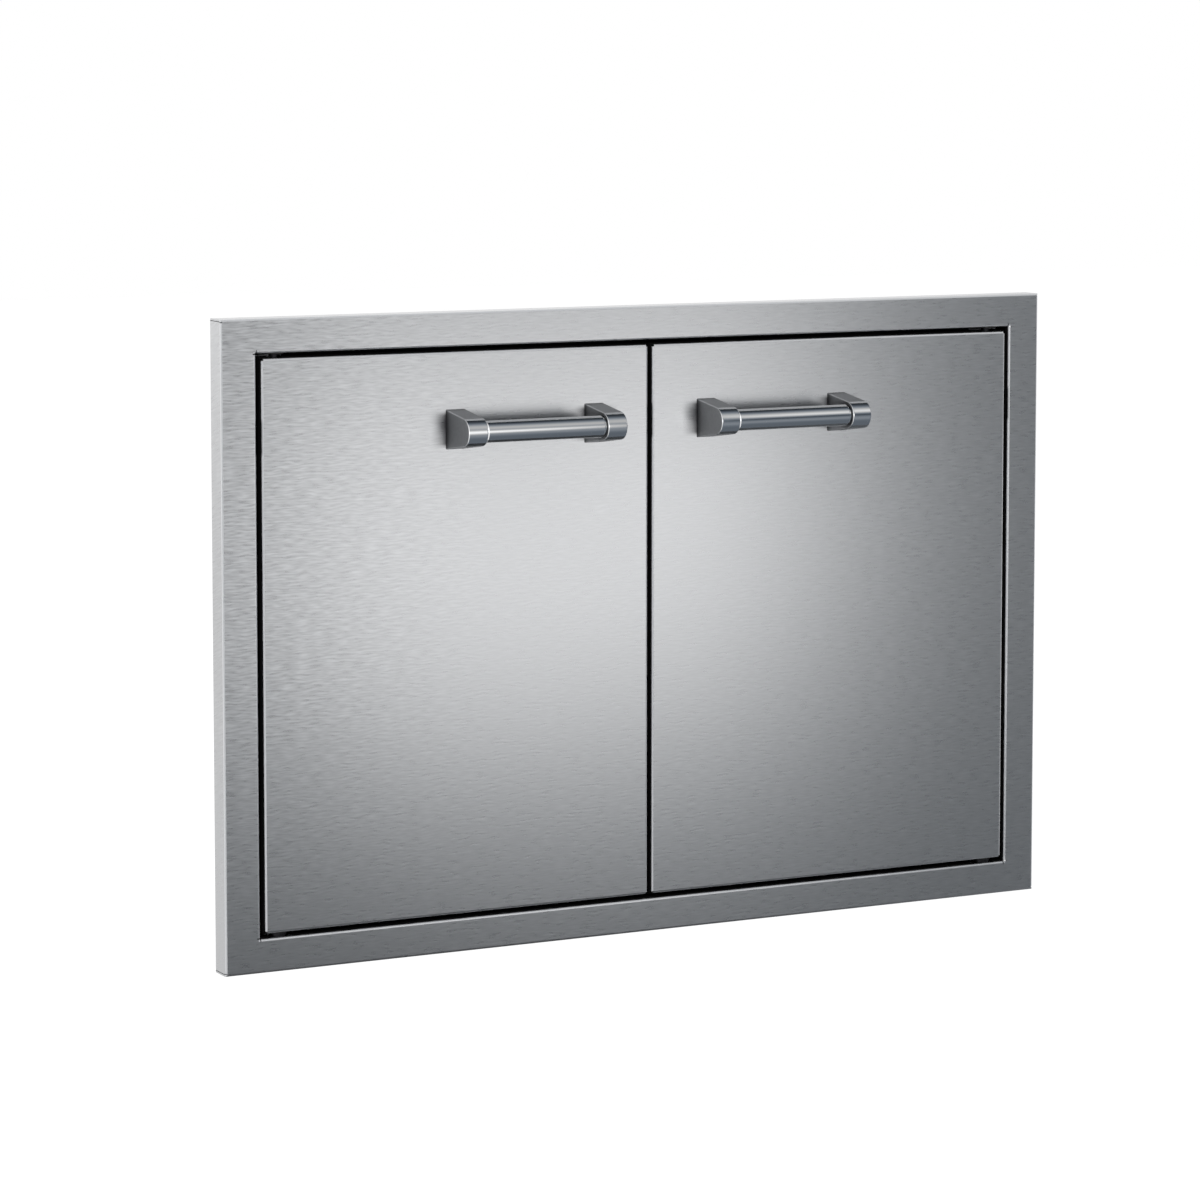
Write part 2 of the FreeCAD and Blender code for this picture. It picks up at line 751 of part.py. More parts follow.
def two_arcs(start, start_heading, end, end_heading):
    """Two arcs from start to end that keep both headings and run smoothly into each other."""
    chord = end - start
    turn = 1 - start_heading.dot(end_heading)
    reach = chord.dot(start_heading + end_heading)
    arm = (math.sqrt(reach ** 2 + 2 * turn * chord.dot(chord)) - reach) / (2 * turn)
    first_corner = start + start_heading * arm
    second_corner = end - end_heading * arm
    middle = (first_corner + second_corner) * 0.5
    return [arc_round(start, first_corner, middle), arc_round(middle, second_corner, end)]


def arc_round(start, corner, end):
    """The arc from start to end whose end tangents meet at the corner."""
    chord_middle = (start + end) * 0.5
    half_chord = (end - start).Length / 2
    cosine = half_chord / (corner - start).Length
    top = chord_middle + (corner - chord_middle) * (cosine / (1 + cosine))
    return Part.Arc(start, top, end).toShape()


def pin_spring():
    """Compression spring round the upper pin, one unbroken round wire."""
    collar_bottom = bracket_inner_top_z - seat_clearance - pin_stop_collar_height
    wire_radius = spring_wire_diameter / 2
    start_z = bracket_inner_bottom_z + wire_radius + spring_end_gap
    end_z = collar_bottom - wire_radius - spring_end_gap
    mean_radius = spring_mean_diameter / 2
    line = coil_centreline(mean_radius, end_z - start_z, spring_turns)
    heading = line.Edges[0].tangentAt(line.Edges[0].FirstParameter)
    section = Part.Wire(Part.makeCircle(wire_radius, V(mean_radius, 0, 0), heading))
    spring = line.makePipeShell([section], True, False)
    spring.translate(V(hinge_x, hinge_y, start_z))
    return spring


def handle_post(centre_x):
    """Post of a handle: flat sides that narrow from the base to a round nose about the bar."""
    half = handle_post_width / 2
    base = handle_base_height / 2
    reach = math.hypot(base, handle_standoff)
    to_axis = math.atan2(handle_standoff, base)
    turn = math.asin(handle_nose_radius / reach)
    tangent_length = math.sqrt(reach ** 2 - handle_nose_radius ** 2)
    lean = math.pi - to_axis - turn
    touch_z = base + tangent_length * math.cos(lean)
    touch_y = tangent_length * math.sin(lean)
    x = centre_x - half

    def place(y, z):
        return V(x, door_front_y - y, handle_z + z)

    tip = place(handle_standoff + handle_nose_radius, 0)
    nose = Part.Arc(place(touch_y, touch_z), tip, place(touch_y, -touch_z)).toShape()
    outline = [
        Part.makeLine(place(0, base), place(touch_y, touch_z)),
        nose,
        Part.makeLine(place(touch_y, -touch_z), place(0, -base)),
        Part.makeLine(place(0, -base), place(0, base)),
    ]
    post = Part.Face(Part.Wire(outline)).extrude(V(handle_post_width, 0, 0))
    rims = []
    for edge in post.Edges:
        ends = edge.Vertexes
        on_a_side = abs(ends[0].X - ends[-1].X) < edge_tolerance
        off_the_door = any(v.Y < door_front_y - edge_tolerance for v in ends)
        if on_a_side and off_the_door:
            rims.append(edge)
    post = post.makeFillet(handle_edge_radius, rims)
    side = 1 if centre_x < sum(post_centres) / 2 else -1
    inner_face_x = centre_x + side * half
    bore_end = V(inner_face_x - side * bar_spigot_length, handle_axis_y, handle_z)
    bore = rod(
        bar_spigot_diameter / 2 + seat_clearance,
        V(inner_face_x + side * cut_margin, handle_axis_y, handle_z),
        bore_end - V(side * seat_clearance, 0, 0),
    )
    screw_hole = rod(
        handle_screw_diameter / 2 + seat_clearance,
        V(centre_x, door_front_y + cut_margin, handle_z),
        V(centre_x, door_front_y - handle_screw_bite - cut_margin, handle_z),
    )
    return post.cut([bore, screw_hole])


def handle_bar():
    """Round bar between the posts, with a neck and a spigot at each end."""
    x0 = handle_outer_end_x + handle_post_width
    x1 = handle_inner_end_x - handle_post_width
    grip = rod(
        bar_diameter / 2,
        V(x0 + bar_neck_length, handle_axis_y, handle_z),
        V(x1 - bar_neck_length, handle_axis_y, handle_z),
    )
    grip = grip.makeChamfer(bar_end_chamfer, [e for e in grip.Edges if len(e.Vertexes) == 1])
    neck = rod(bar_neck_diameter / 2, V(x0, handle_axis_y, handle_z), V(x1, handle_axis_y, handle_z))
    spigot = rod(
        bar_spigot_diameter / 2,
        V(x0 - bar_spigot_length, handle_axis_y, handle_z),
        V(x1 + bar_spigot_length, handle_axis_y, handle_z),
    )
    return grip.fuse([neck, spigot]).removeSplitter()


def backing_plate():
    """Plate behind the skin that spreads the load of the handle's screws."""
    x0 = handle_outer_end_x + backing_plate_overhang
    x1 = handle_inner_end_x - backing_plate_overhang
    half = backing_plate_height / 2
    y1 = skin_inner_y + backing_plate_thickness
    plate = box(x0, x1, skin_inner_y, y1, handle_z - half, handle_z + half)
    holes = []
    for x in post_centres:
        start = V(x, skin_inner_y - cut_margin, handle_z)
        holes.append(rod(handle_screw_diameter / 2 + seat_clearance, start, V(x, y1 + cut_margin, handle_z)))
    return plate.cut(holes)


def handle_screws():
    """Two screws that pull the posts against the skin from inside the door."""
    screws = []
    seat_y = skin_inner_y + backing_plate_thickness
    for x in post_centres:
        tail = V(x, door_front_y - handle_screw_bite, handle_z)
        shank = rod(handle_screw_diameter / 2, tail, V(x, seat_y, handle_z))
        top = V(x, seat_y + handle_screw_head_height, handle_z)
        head = rod(handle_screw_head_diameter / 2, V(x, seat_y, handle_z), top)
        screws.append(shank.fuse(head).removeSplitter())
    return group(screws)


def access_plugs():
    """Plastic plugs that close the access holes of the handle's screws in the liner."""
    plugs = []
    floor_y = door_back_y - liner_panel_recess
    for x in post_centres:
        head = rod(
            plug_head_diameter / 2,
            V(x, floor_y, handle_z),
            V(x, floor_y + plug_head_thickness, handle_z),
        )
        head = head.makeFillet(plug_head_thickness / 2, edges_at_y(head, floor_y + plug_head_thickness))
        radius = access_hole_diameter / 2 - seat_clearance
        skirt = rod(radius, V(x, floor_y, handle_z), V(x, floor_y - plug_depth, handle_z))
        hollow_start = V(x, floor_y - plug_depth - cut_margin, handle_z)
        hollow = rod(radius - plug_wall, hollow_start, V(x, floor_y, handle_z))
        plugs.append(head.fuse(skirt.cut(hollow)).removeSplitter())
    return group(plugs)


def catch_centre_z():
    """Height of the middle of the magnetic catch, on the lip of the top stop."""
    lip_edge = open_half_height - end_stop_height
    return lip_edge + catch_above_stop_edge + catch_height / 2


def catch_front_y():
    """Plane of the pole plates' faces, just behind the strike plates."""
    return door_back_y + strike_thickness + strike_rivet_head_height + catch_gap


def catch_screw_places():
    """The catch is held by a screw in its middle and one at each end."""
    reach = (catch_width - catch_screw_head_diameter) / 2 - catch_edge_radius
    return (-reach, 0.0, reach)


def catch_screw_hole(x):
    """Hole for one screw of the catch, through the lip of the stop."""
    z = catch_centre_z()
    start = V(x, stop_front_y - cut_margin, z)
    end = V(x, stop_front_y + stop_sheet + cut_margin, z)
    return rod(catch_screw_diameter / 2 + seat_clearance, start, end)


def magnet_places():
    """Centres of the two magnets, one for each door."""
    return (-magnet_centre_spacing / 2, magnet_centre_spacing / 2)


def catch_housing():
    """Plastic body of the catch, with a pocket for each magnet and counterbored screw holes."""
    z = catch_centre_z()
    front = catch_front_y() + pole_plate_proud
    half = catch_width / 2
    body = box(-half, half, front, stop_front_y, z - catch_height / 2, z + catch_height / 2)
    body = body.makeFillet(catch_edge_radius, edges_at_y(body, front))
    cuts = []
    pocket_half_height = magnet_height / 2 + pole_plate_thickness + seat_clearance
    for x in magnet_places():
        pocket_half_width = magnet_width / 2 + seat_clearance
        x0 = x - pocket_half_width
        x1 = x + pocket_half_width
        pocket_back = catch_front_y() + magnet_depth + pole_plate_proud + seat_clearance
        z0 = z - pocket_half_height
        z1 = z + pocket_half_height
        cuts.append(box(x0, x1, front - cut_margin, pocket_back, z0, z1))
    for x in catch_screw_places():
        start = V(x, front - cut_margin, z)
        cuts.append(rod(catch_screw_diameter / 2 + seat_clearance, start, V(x, stop_front_y + cut_margin, z)))
        seat = V(x, front + catch_screw_head_height, z)
        cuts.append(rod(catch_screw_head_diameter / 2 + seat_clearance, start, seat))
    return body.cut(cuts)


def catch_magnets():
    """Two block magnets."""
    z = catch_centre_z()
    front = catch_front_y() + pole_plate_proud
    magnets = []
    for x in magnet_places():
        half = magnet_width / 2
        half_height = magnet_height / 2
        back = front + magnet_depth
        magnets.append(box(x - half, x + half, front, back, z - half_height, z + half_height))
    return group(magnets)


def pole_plates():
    """Steel plates above and below each magnet, a little proud of the housing."""
    z = catch_centre_z()
    front = catch_front_y()
    back = front + pole_plate_proud + magnet_depth
    plates = []
    for x in magnet_places():
        half = magnet_width / 2
        for sign in (-1, 1):
            near = z + sign * magnet_height / 2
            far = near + sign * pole_plate_thickness
            plates.append(box(x - half, x + half, front, back, near, far))
    return group(plates)


def catch_screws():
    """Screws of the catch, with their heads in the counterbores."""
    z = catch_centre_z()
    seat_y = catch_front_y() + pole_plate_proud + catch_screw_head_height
    screws = []
    for x in catch_screw_places():
        tail = V(x, stop_front_y + stop_sheet + catch_screw_tail, z)
        shank = rod(catch_screw_diameter / 2, V(x, seat_y, z), tail)
        top = V(x, seat_y - catch_screw_head_height, z)
        head = rod(catch_screw_head_diameter / 2, top, V(x, seat_y, z))
        screws.append(head.fuse(shank).removeSplitter())
    return group(screws)


def strike_centre():
    """Middle of the left door's strike plate, in front of its magnet."""
    return -magnet_centre_spacing / 2, catch_centre_z()


def strike_rivet_places():
    """Two rivets for each strike plate."""
    x, z = strike_centre()
    reach = strike_width / 2 - strike_rivet_inset
    return ((x - reach, z), (x + reach, z))


def strike_rivet_holes():
    """Holes for the strike plate's rivets, through the plate, the liner and the rear lip."""
    radius = strike_rivet_diameter / 2 + seat_clearance
    back = door_back_y + strike_thickness + cut_margin
    holes = []
    for x, z in strike_rivet_places():
        holes.append(rod(radius, V(x, lip_front_y - cut_margin, z), V(x, back, z)))
    return holes


def strike_plate():
    """Steel plate on the back of the left door that the magnet holds."""
    x, z = strike_centre()
    half_width = strike_width / 2
    half_height = strike_height / 2
    back = door_back_y + strike_thickness
    plate = box(x - half_width, x + half_width, door_back_y, back, z - half_height, z + half_height)
    return plate.cut(strike_rivet_holes())


def strike_rivets():
    """Flat rivets of the strike plate."""
    rivets = []
    seat_y = door_back_y + strike_thickness
    for x, z in strike_rivet_places():
        tail = V(x, seat_y - strike_rivet_length, z)
        shank = rod(strike_rivet_diameter / 2, tail, V(x, seat_y, z))
        top = V(x, seat_y + strike_rivet_head_height, z)
        head = rod(strike_rivet_head_diameter / 2, V(x, seat_y, z), top)
        rivets.append(shank.fuse(head).removeSplitter())
    return group(rivets)


def stop_bumpers():
    """Rubber buttons on the stops, which the doors close against."""
    length = stop_front_y - door_back_y - bumper_clearance
    z = open_half_height - end_stop_height / 2
    buttons = []
    for x in (-bumper_from_centre, bumper_from_centre):
        for height in (-z, z):
            foot = V(x, stop_front_y, height)
            buttons.append(
                Part.makeCone(bumper_diameter / 2, bumper_tip_diameter / 2, length, foot, V(0, -1, 0))
            )
    return group(buttons)


def frame_edge_seal():
    """Thin rubber lining on the inner flanges of the frame."""
    y0 = face_y + seal_behind_front
    half_width = open_half_width
    half_height = open_half_height
    outer = centred_block(half_width, y0, flange_end_y, half_height)
    inner = centred_block(
        half_width - seal_thickness, y0 - cut_margin, flange_end_y + cut_margin, half_height - seal_thickness
    )
    lining = outer.cut(inner)
    holes = []
    for side in (-1, 1):
        x = side * hinge_x
        low = V(x, hinge_y, -half_height - cut_margin)
        low_end = V(x, hinge_y, -half_height + seal_thickness + cut_margin)
        holes.append(rod(collar_diameter / 2 + seal_hole_clearance, low, low_end))
        high = V(x, hinge_y, half_height + cut_margin)
        high_end = V(x, hinge_y, half_height - seal_thickness - cut_margin)
        holes.append(rod(bush_flange_diameter / 2 + seal_hole_clearance, high, high_end))
    return lining.cut(holes)


def door_edge_seal():
    """Thin rubber band round the returns of the left door."""
    y0 = door_front_y + seal_behind_front
    y1 = liner_front_y - seal_behind_front
    t = seal_thickness
    outer = box(door_hinge_x - t, door_free_x + t, y0, y1, door_bottom - t, door_top + t)
    inner = box(door_hinge_x, door_free_x, y0 - cut_margin, y1 + cut_margin, door_bottom, door_top)
    band = outer.cut(inner)
    low = V(hinge_x, hinge_y, door_bottom + cut_margin)
    low_end = V(hinge_x, hinge_y, door_bottom - t - cut_margin)
    high = V(hinge_x, hinge_y, door_top - cut_margin)
    high_end = V(hinge_x, hinge_y, door_top + t + cut_margin)
    return band.cut(
        [
            rod(bush_flange_diameter / 2 + seal_hole_clearance, low, low_end),
            rod(pin_radius + seal_hole_clearance, high, high_end),
        ]
    )


def centre_seal():
    """Rubber bead on the free edge of the left door that closes the gap between the doors."""
    x0 = door_free_x + seal_thickness
    x1 = -door_free_x - seal_thickness - centre_seal_clearance
    y0 = door_front_y + centre_seal_behind_front
    bead = box(x0, x1, y0, y0 + centre_seal_depth, door_bottom, door_top)
    rounded = edges_along_z_at(bead, x1, y0) + edges_along_z_at(bead, x1, y0 + centre_seal_depth)
    return bead.makeFillet((x1 - x0) / 2, rounded)


door_pieces = {
    "door_skin": door_skin,
    "door_liner": door_liner,
    "liner_screws": liner_screws,
    "door_edge_seal": door_edge_seal,
    "lower_hinge_block": lower_hinge_block,
    "lower_hinge_bush": lower_door_bush,
    "upper_pin_bracket": upper_pin_bracket,
    "upper_hinge_pin": upper_pin,
    "release_knob": release_knob,
    "pin_spring": pin_spring,
    "outer_handle_post": lambda: handle_post(post_centres[0]),
    "inner_handle_post": lambda: handle_post(post_centres[1]),
    "handle_bar": handle_bar,
    "handle_backing_plate": backing_plate,
    "handle_screws": handle_screws,
    "access_plugs": access_plugs,
    "strike_plate": strike_plate,
    "strike_rivets": strike_rivets,
}

os.makedirs("parts", exist_ok=True)

for piece, make in door_pieces.items():
    shape = make()
    save("left_" + piece, shape)
    save("right_" + piece, mirrored(shape))

save("centre_seal", centre_seal())
save("face_frame", face_frame())
save("frame_edge_seal", frame_edge_seal())
save("corner_braces", corner_braces())
for name, sign in (("top", 1), ("bottom", -1)):
    save("jamb_" + name, jamb_end(sign))
    save("door_stop_" + name, stop_end(sign))
save("jamb_left", jamb_side())
save("jamb_right", mirrored(jamb_side()))
save("door_stop_left", stop_side())
save("door_stop_right", mirrored(stop_side()))
save("upper_hinge_plates", group([hinge_plate(1), mirrored(hinge_plate(1))]))
save("lower_hinge_plates", group([hinge_plate(-1), mirrored(hinge_plate(-1))]))
save("lower_hinge_pins", group([lower_pin(), mirrored(lower_pin())]))
save("lower_pin_nuts", group([lock_nut(), mirrored(lock_nut())]))
save("upper_frame_bushes", group([upper_frame_bush(), mirrored(upper_frame_bush())]))
save("catch_housing", catch_housing())
save("catch_magnets", catch_magnets())
save("catch_pole_plates", pole_plates())
save("catch_screws", catch_screws())
save("stop_bumpers", stop_bumpers())
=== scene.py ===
"""A pair of brushed stainless doors in one trim frame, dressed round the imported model.

All lengths are in metres, but the camera's lens is in millimetres. Its turns are in degrees.
"""
import math

import bpy
import numpy as np
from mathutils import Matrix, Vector


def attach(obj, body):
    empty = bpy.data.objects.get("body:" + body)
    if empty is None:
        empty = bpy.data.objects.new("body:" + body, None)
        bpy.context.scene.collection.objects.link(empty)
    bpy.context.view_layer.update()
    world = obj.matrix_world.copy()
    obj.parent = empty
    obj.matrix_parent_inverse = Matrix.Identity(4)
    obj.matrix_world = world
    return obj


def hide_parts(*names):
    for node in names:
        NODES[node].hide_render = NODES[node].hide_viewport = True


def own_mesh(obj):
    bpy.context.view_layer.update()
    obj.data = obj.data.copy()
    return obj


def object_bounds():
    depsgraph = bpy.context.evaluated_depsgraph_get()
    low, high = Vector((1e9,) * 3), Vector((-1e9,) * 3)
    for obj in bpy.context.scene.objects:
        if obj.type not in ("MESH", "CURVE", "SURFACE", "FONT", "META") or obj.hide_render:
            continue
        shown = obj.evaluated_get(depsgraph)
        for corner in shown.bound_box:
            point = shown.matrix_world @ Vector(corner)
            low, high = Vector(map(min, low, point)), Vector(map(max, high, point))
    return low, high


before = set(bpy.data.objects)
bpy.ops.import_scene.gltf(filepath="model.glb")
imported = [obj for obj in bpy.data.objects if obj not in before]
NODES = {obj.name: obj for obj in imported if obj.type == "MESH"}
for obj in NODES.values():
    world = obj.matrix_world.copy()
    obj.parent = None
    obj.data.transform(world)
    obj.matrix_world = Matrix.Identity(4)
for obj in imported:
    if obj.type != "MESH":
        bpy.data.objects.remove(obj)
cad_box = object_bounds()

# The camera stands to the left of the doors and a little above them.
camera_place = (-1.7193, -3.2665, 0.5086)
camera_yaw = 27.25
camera_pitch = 5.466
camera_lens = 125.24
camera_rise = -0.13

floor_height = cad_box[0].z
floor_reach = 9.0
tent_radius = 1.3

# Places on the left door, which the right door mirrors. The names are those of the CAD model's sizes.
hinge_x, hinge_y = -0.355, -0.0145
door_hinge_x, door_free_x, door_top = -0.370, -0.00225, 0.2455
door_back_y = -0.005
open_half_width, open_half_height = 0.3745, 0.250
stop_front_y = 0.005
catch_seat_y = -0.00095

# The spring of an upper hinge pin reaches from low to high and shortens by the pin's travel.
spring_low, spring_high, pin_travel = 0.2103, 0.23825, 0.012

# The axis of the handle bars, half the height of the posts' feet, and where the posts' polished noses start.
handle_z, bar_y = 0.1787, -0.0597
post_half_height = 0.0165
nose_start = -0.0630

# Painted shade darkens the sheet this near to the sides of the posts, and behind the bars between these two
# distances from the middle of the doors.
painted_shade_reach = 0.015
# The painted shade darkens the sheet towards this grey, and the posts towards a fifth of it.
painted_shade_grey = (0.07, 0.07, 0.075)
shade_inner_x, shade_outer_x = 0.052, 0.194

face_grey = (0.66, 0.665, 0.675)
inner_grey = (0.60, 0.605, 0.615)
hardware_grey = (0.70, 0.70, 0.71)
black_steel = (0.035, 0.035, 0.038)
post_grey = (0.31, 0.315, 0.325)
chrome_grey = (0.80, 0.81, 0.82)

# Neighbouring faces of the finer pieces that meet at more than this angle meet at an edge.
edge_angle = math.radians(40)

# Soft glows of the sheet tent: centre, size along each axis, and strength.
SHEET_GLOWS = (
    ((0.354, -1.235, -0.215), (0.188, 0.188, 0.120), 0.99),
    ((0.284, -1.270, 0.046), (0.116, 0.116, 0.158), 1.28),
    ((0.645, -1.129, -0.015), (0.121, 0.121, 0.199), 1.44),
    ((0.520, -1.190, 0.200), (0.130, 0.130, 0.090), 0.22),
    ((-0.46, -1.20, 0.10), (0.16, 0.16, 0.30), 1.2),
    ((-1.20, 0.10, 0.0), (0.30, 0.40, 0.75), 0.9),
    ((-0.84, -0.85, -0.55), (0.31, 0.40, 0.45), 0.64),
    ((0.66, -1.05, -0.52), (0.30, 0.25, 0.11), 0.045),
    ((1.22, 0.02, 0.1), (0.35, 0.35, 0.70), 0.50),
    ((1.15, -0.25, 0.1), (0.30, 0.35, 0.70), 0.25),
)

# Bands of the handle tent: angle and width in degrees, strength, and where along X it starts and is full.
HANDLE_BANDS = (
    (47.0, 20.0, 0.42, -1.5, -1.4),
    (-24.0, 12.0, 0.12, -1.5, -1.4),
    (35.0, 12.0, 0.12, 0.62, 0.50),
    (3.0, 9.5, 1.10, 0.64, 0.32),
    (33.0, 11.0, 0.45, 0.50, 0.64),
)


class Wiring:
    """Adds nodes to one node tree and joins them.

    An input may be a number, a tuple or another node's output.
    """

    def __init__(self, tree):
        self.tree = tree
        tree.nodes.clear()

    def node(self, kind, inputs=None, **settings):
        made = self.tree.nodes.new(kind)
        for name, value in settings.items():
            setattr(made, name, value)
        for name, value in (inputs or {}).items():
            self.feed(made.inputs[name], value)
        return made

    def feed(self, socket, value):
        """Joins another node's output to the socket, or sets its value. Colours are opaque."""
        if isinstance(value, bpy.types.NodeSocket):
            self.tree.links.new(value, socket)
        else:
            socket.default_value = (*value, 1) if socket.type == "RGBA" else value

    def math(self, operation, *values):
        return self.node("ShaderNodeMath", dict(enumerate(values)), operation=operation).outputs[0]

    def plus(self, first, second):
        return self.math("ADD", first, second)

    def minus(self, first, second):
        return self.math("SUBTRACT", first, second)

    def times(self, first, second):
        return self.math("MULTIPLY", first, second)

    def vector(self, operation, *values):
        made = self.node("ShaderNodeVectorMath", dict(enumerate(values)), operation=operation)
        return made.outputs["Value" if operation == "DOT_PRODUCT" else "Vector"]

    def axes(self, vector):
        """The three parts of a vector."""
        return self.node("ShaderNodeSeparateXYZ", {0: vector}).outputs

    def ramp(self, value, low, high, to_low=0.0, to_high=1.0, smooth=False):
        """Carries the range from low to high over to that from to_low to to_high, and holds at its ends."""
        kind = "SMOOTHSTEP" if smooth else "LINEAR"
        inputs = {"Value": value, "From Min": low, "From Max": high, "To Min": to_low, "To Max": to_high}
        return self.node("ShaderNodeMapRange", inputs, interpolation_type=kind).outputs["Result"]

    def mix_colour(self, share, first, second):
        """The first colour where share is 0 and the second where it is 1."""
        # Inputs 6 and 7 and output 2 are the mixing node's colour sockets.
        inputs = {0: share, 6: first, 7: second}
        return self.node("ShaderNodeMix", inputs, data_type="RGBA", clamp_factor=True).outputs[2]

    def noise(self, vector, detail=1.0, scale=1.0):
        inputs = {"Vector": vector, "Scale": scale, "Detail": detail}
        return self.node("ShaderNodeTexNoise", inputs).outputs["Fac"]


def group(name, inputs, outputs):
    """An empty shader node group with the named float or vector inputs and float outputs."""
    tree = bpy.data.node_groups.new(name, "ShaderNodeTree")
    for label, default in inputs.items():
        kind = "NodeSocketVector" if isinstance(default, tuple) else "NodeSocketFloat"
        socket = tree.interface.new_socket(label, in_out="INPUT", socket_type=kind)
        socket.default_value = default
    for label in outputs:
        tree.interface.new_socket(label, in_out="OUTPUT", socket_type="NodeSocketFloat")
    wires = Wiring(tree)
    return wires, wires.node("NodeGroupInput").outputs, wires.node("NodeGroupOutput").inputs


def brushed_grain_group():
    """Short wavy streaks: noise squeezed to Length along the first axis and Width along the third.

    The third axis is first moved up and down by a slower noise, which makes the streaks waver. Hairline is a
    finer and longer noise that shows from close by, and Cloud is a broad slow change of tone.
    """
    wave_rate, cloud_rate = (50.0, 50.0, 90.0), (5.0, 5.0, 14.0)
    hairs_to_streak = (0.3, 1.0, 5.0)
    inputs = {"Vector": (0.0, 0.0, 0.0), "Length": 0.013, "Width": 0.0017, "Wave": 0.0032}
    wires, given, result = group("Brushed grain", inputs, ("Streak", "Hairline", "Cloud"))
    axes = wires.axes(given["Vector"])
    slow = wires.noise(wires.vector("MULTIPLY", given["Vector"], wave_rate))
    lift = wires.times(wires.minus(slow, 0.5), given["Wave"])
    along = wires.math("DIVIDE", axes[0], given["Length"])
    across = wires.math("DIVIDE", wires.plus(axes[2], lift), given["Width"])
    streak_at = wires.node("ShaderNodeCombineXYZ", {0: along, 2: across}).outputs[0]
    streak = wires.noise(streak_at)
    hair = wires.noise(wires.vector("MULTIPLY", streak_at, hairs_to_streak))
    cloud = wires.noise(wires.vector("MULTIPLY", given["Vector"], cloud_rate), detail=2.0)
    wires.feed(result["Streak"], wires.ramp(streak, 0.25, 0.75))
    wires.feed(result["Hairline"], wires.ramp(hair, 0.25, 0.75))
    wires.feed(result["Cloud"], wires.ramp(cloud, 0.3, 0.7))
    return wires.tree


def mottle_group():
    """Two noises, one of Size and one eight times finer, each spread to the whole range from 0 to 1."""
    inputs = {"Vector": (0.0, 0.0, 0.0), "Size": 0.01}
    wires, given, result = group("Mottle", inputs, ("Broad", "Fine"))
    scaled = wires.node("ShaderNodeVectorMath", {0: given["Vector"]}, operation="SCALE")
    wires.feed(scaled.inputs["Scale"], wires.math("DIVIDE", 1.0, given["Size"]))
    broad = wires.noise(scaled.outputs[0], detail=3.0)
    fine = wires.noise(scaled.outputs[0], detail=2.0, scale=8.0)
    wires.feed(result["Broad"], wires.ramp(broad, 0.3, 0.7))
    wires.feed(result["Fine"], wires.ramp(fine, 0.3, 0.7))
    return wires.tree


def glow_group():
    """Strength times e to the power of minus half the squared distance from Centre.

    Each axis of the distance is measured in Size.
    """
    inputs = {"Vector": (0.0, 0.0, 0.0), "Centre": (0.0, 0.0, 0.0), "Size": (1.0, 1.0, 1.0), "Strength": 1.0}
    wires, given, result = group("Soft glow", inputs, ("Light",))
    away = wires.vector("DIVIDE", wires.vector("SUBTRACT", given["Vector"], given["Centre"]), given["Size"])
    square = wires.vector("DOT_PRODUCT", away, away)
    fall = wires.math("EXPONENT", wires.times(square, -0.5))
    wires.feed(result["Light"], wires.times(fall, given["Strength"]))
    return wires.tree


GRAIN = brushed_grain_group()
MOTTLE = mottle_group()
GLOW = glow_group()


def use(wires, tree, **inputs):
    """Places a group in a material and returns its outputs."""
    made = wires.node("ShaderNodeGroup")
    made.node_tree = tree
    for name, value in inputs.items():
        wires.feed(made.inputs[name], value)
    return made.outputs


def material(name):
    """A new material, its wiring, and the place on the piece that its patterns follow."""
    made = bpy.data.materials.new(name)
    made.use_nodes = True
    wires = Wiring(made.node_tree)
    place = wires.node("ShaderNodeTexCoord").outputs["Object"]
    return made, wires, place


def finish_surface(wires, **inputs):
    """The material's own shader, joined to its output."""
    named = {key.replace("_", " "): value for key, value in inputs.items()}
    shader = wires.node("ShaderNodeBsdfPrincipled", named)
    wires.node("ShaderNodeOutputMaterial", {"Surface": shader.outputs[0]})


def bump(wires, height, distance):
    """A surface that rises by distance where height goes from nought to one."""
    return wires.node("ShaderNodeBump", {"Height": height, "Distance": distance}).outputs[0]


def shade(colour, factor):
    """The colour times a factor, with no part above one."""
    return tuple(min(1.0, part * factor) for part in colour)


def fold_mask(wires):
    """One where the surface faces between two axes, as on a bend, and nought on the flats."""
    flat, folded = 0.995, 0.96
    facing = wires.node("ShaderNodeTexCoord").outputs["Normal"]
    parts = wires.axes(wires.vector("ABSOLUTE", facing))
    most = wires.math("MAXIMUM", wires.math("MAXIMUM", parts[0], parts[1]), parts[2])
    return wires.ramp(most, flat, folded)


def sideways(wires):
    """One where the surface faces along X, either way, and nought where it faces across it."""
    facing = wires.node("ShaderNodeTexCoord").outputs["Normal"]
    return wires.math("ABSOLUTE", wires.axes(facing)[0])


def open_sky(wires, reach, samples):
    """One where nothing stands within reach of the surface, and less the more of its sky is covered."""
    return wires.node("ShaderNodeAmbientOcclusion", {"Distance": reach}, samples=samples).outputs["AO"]


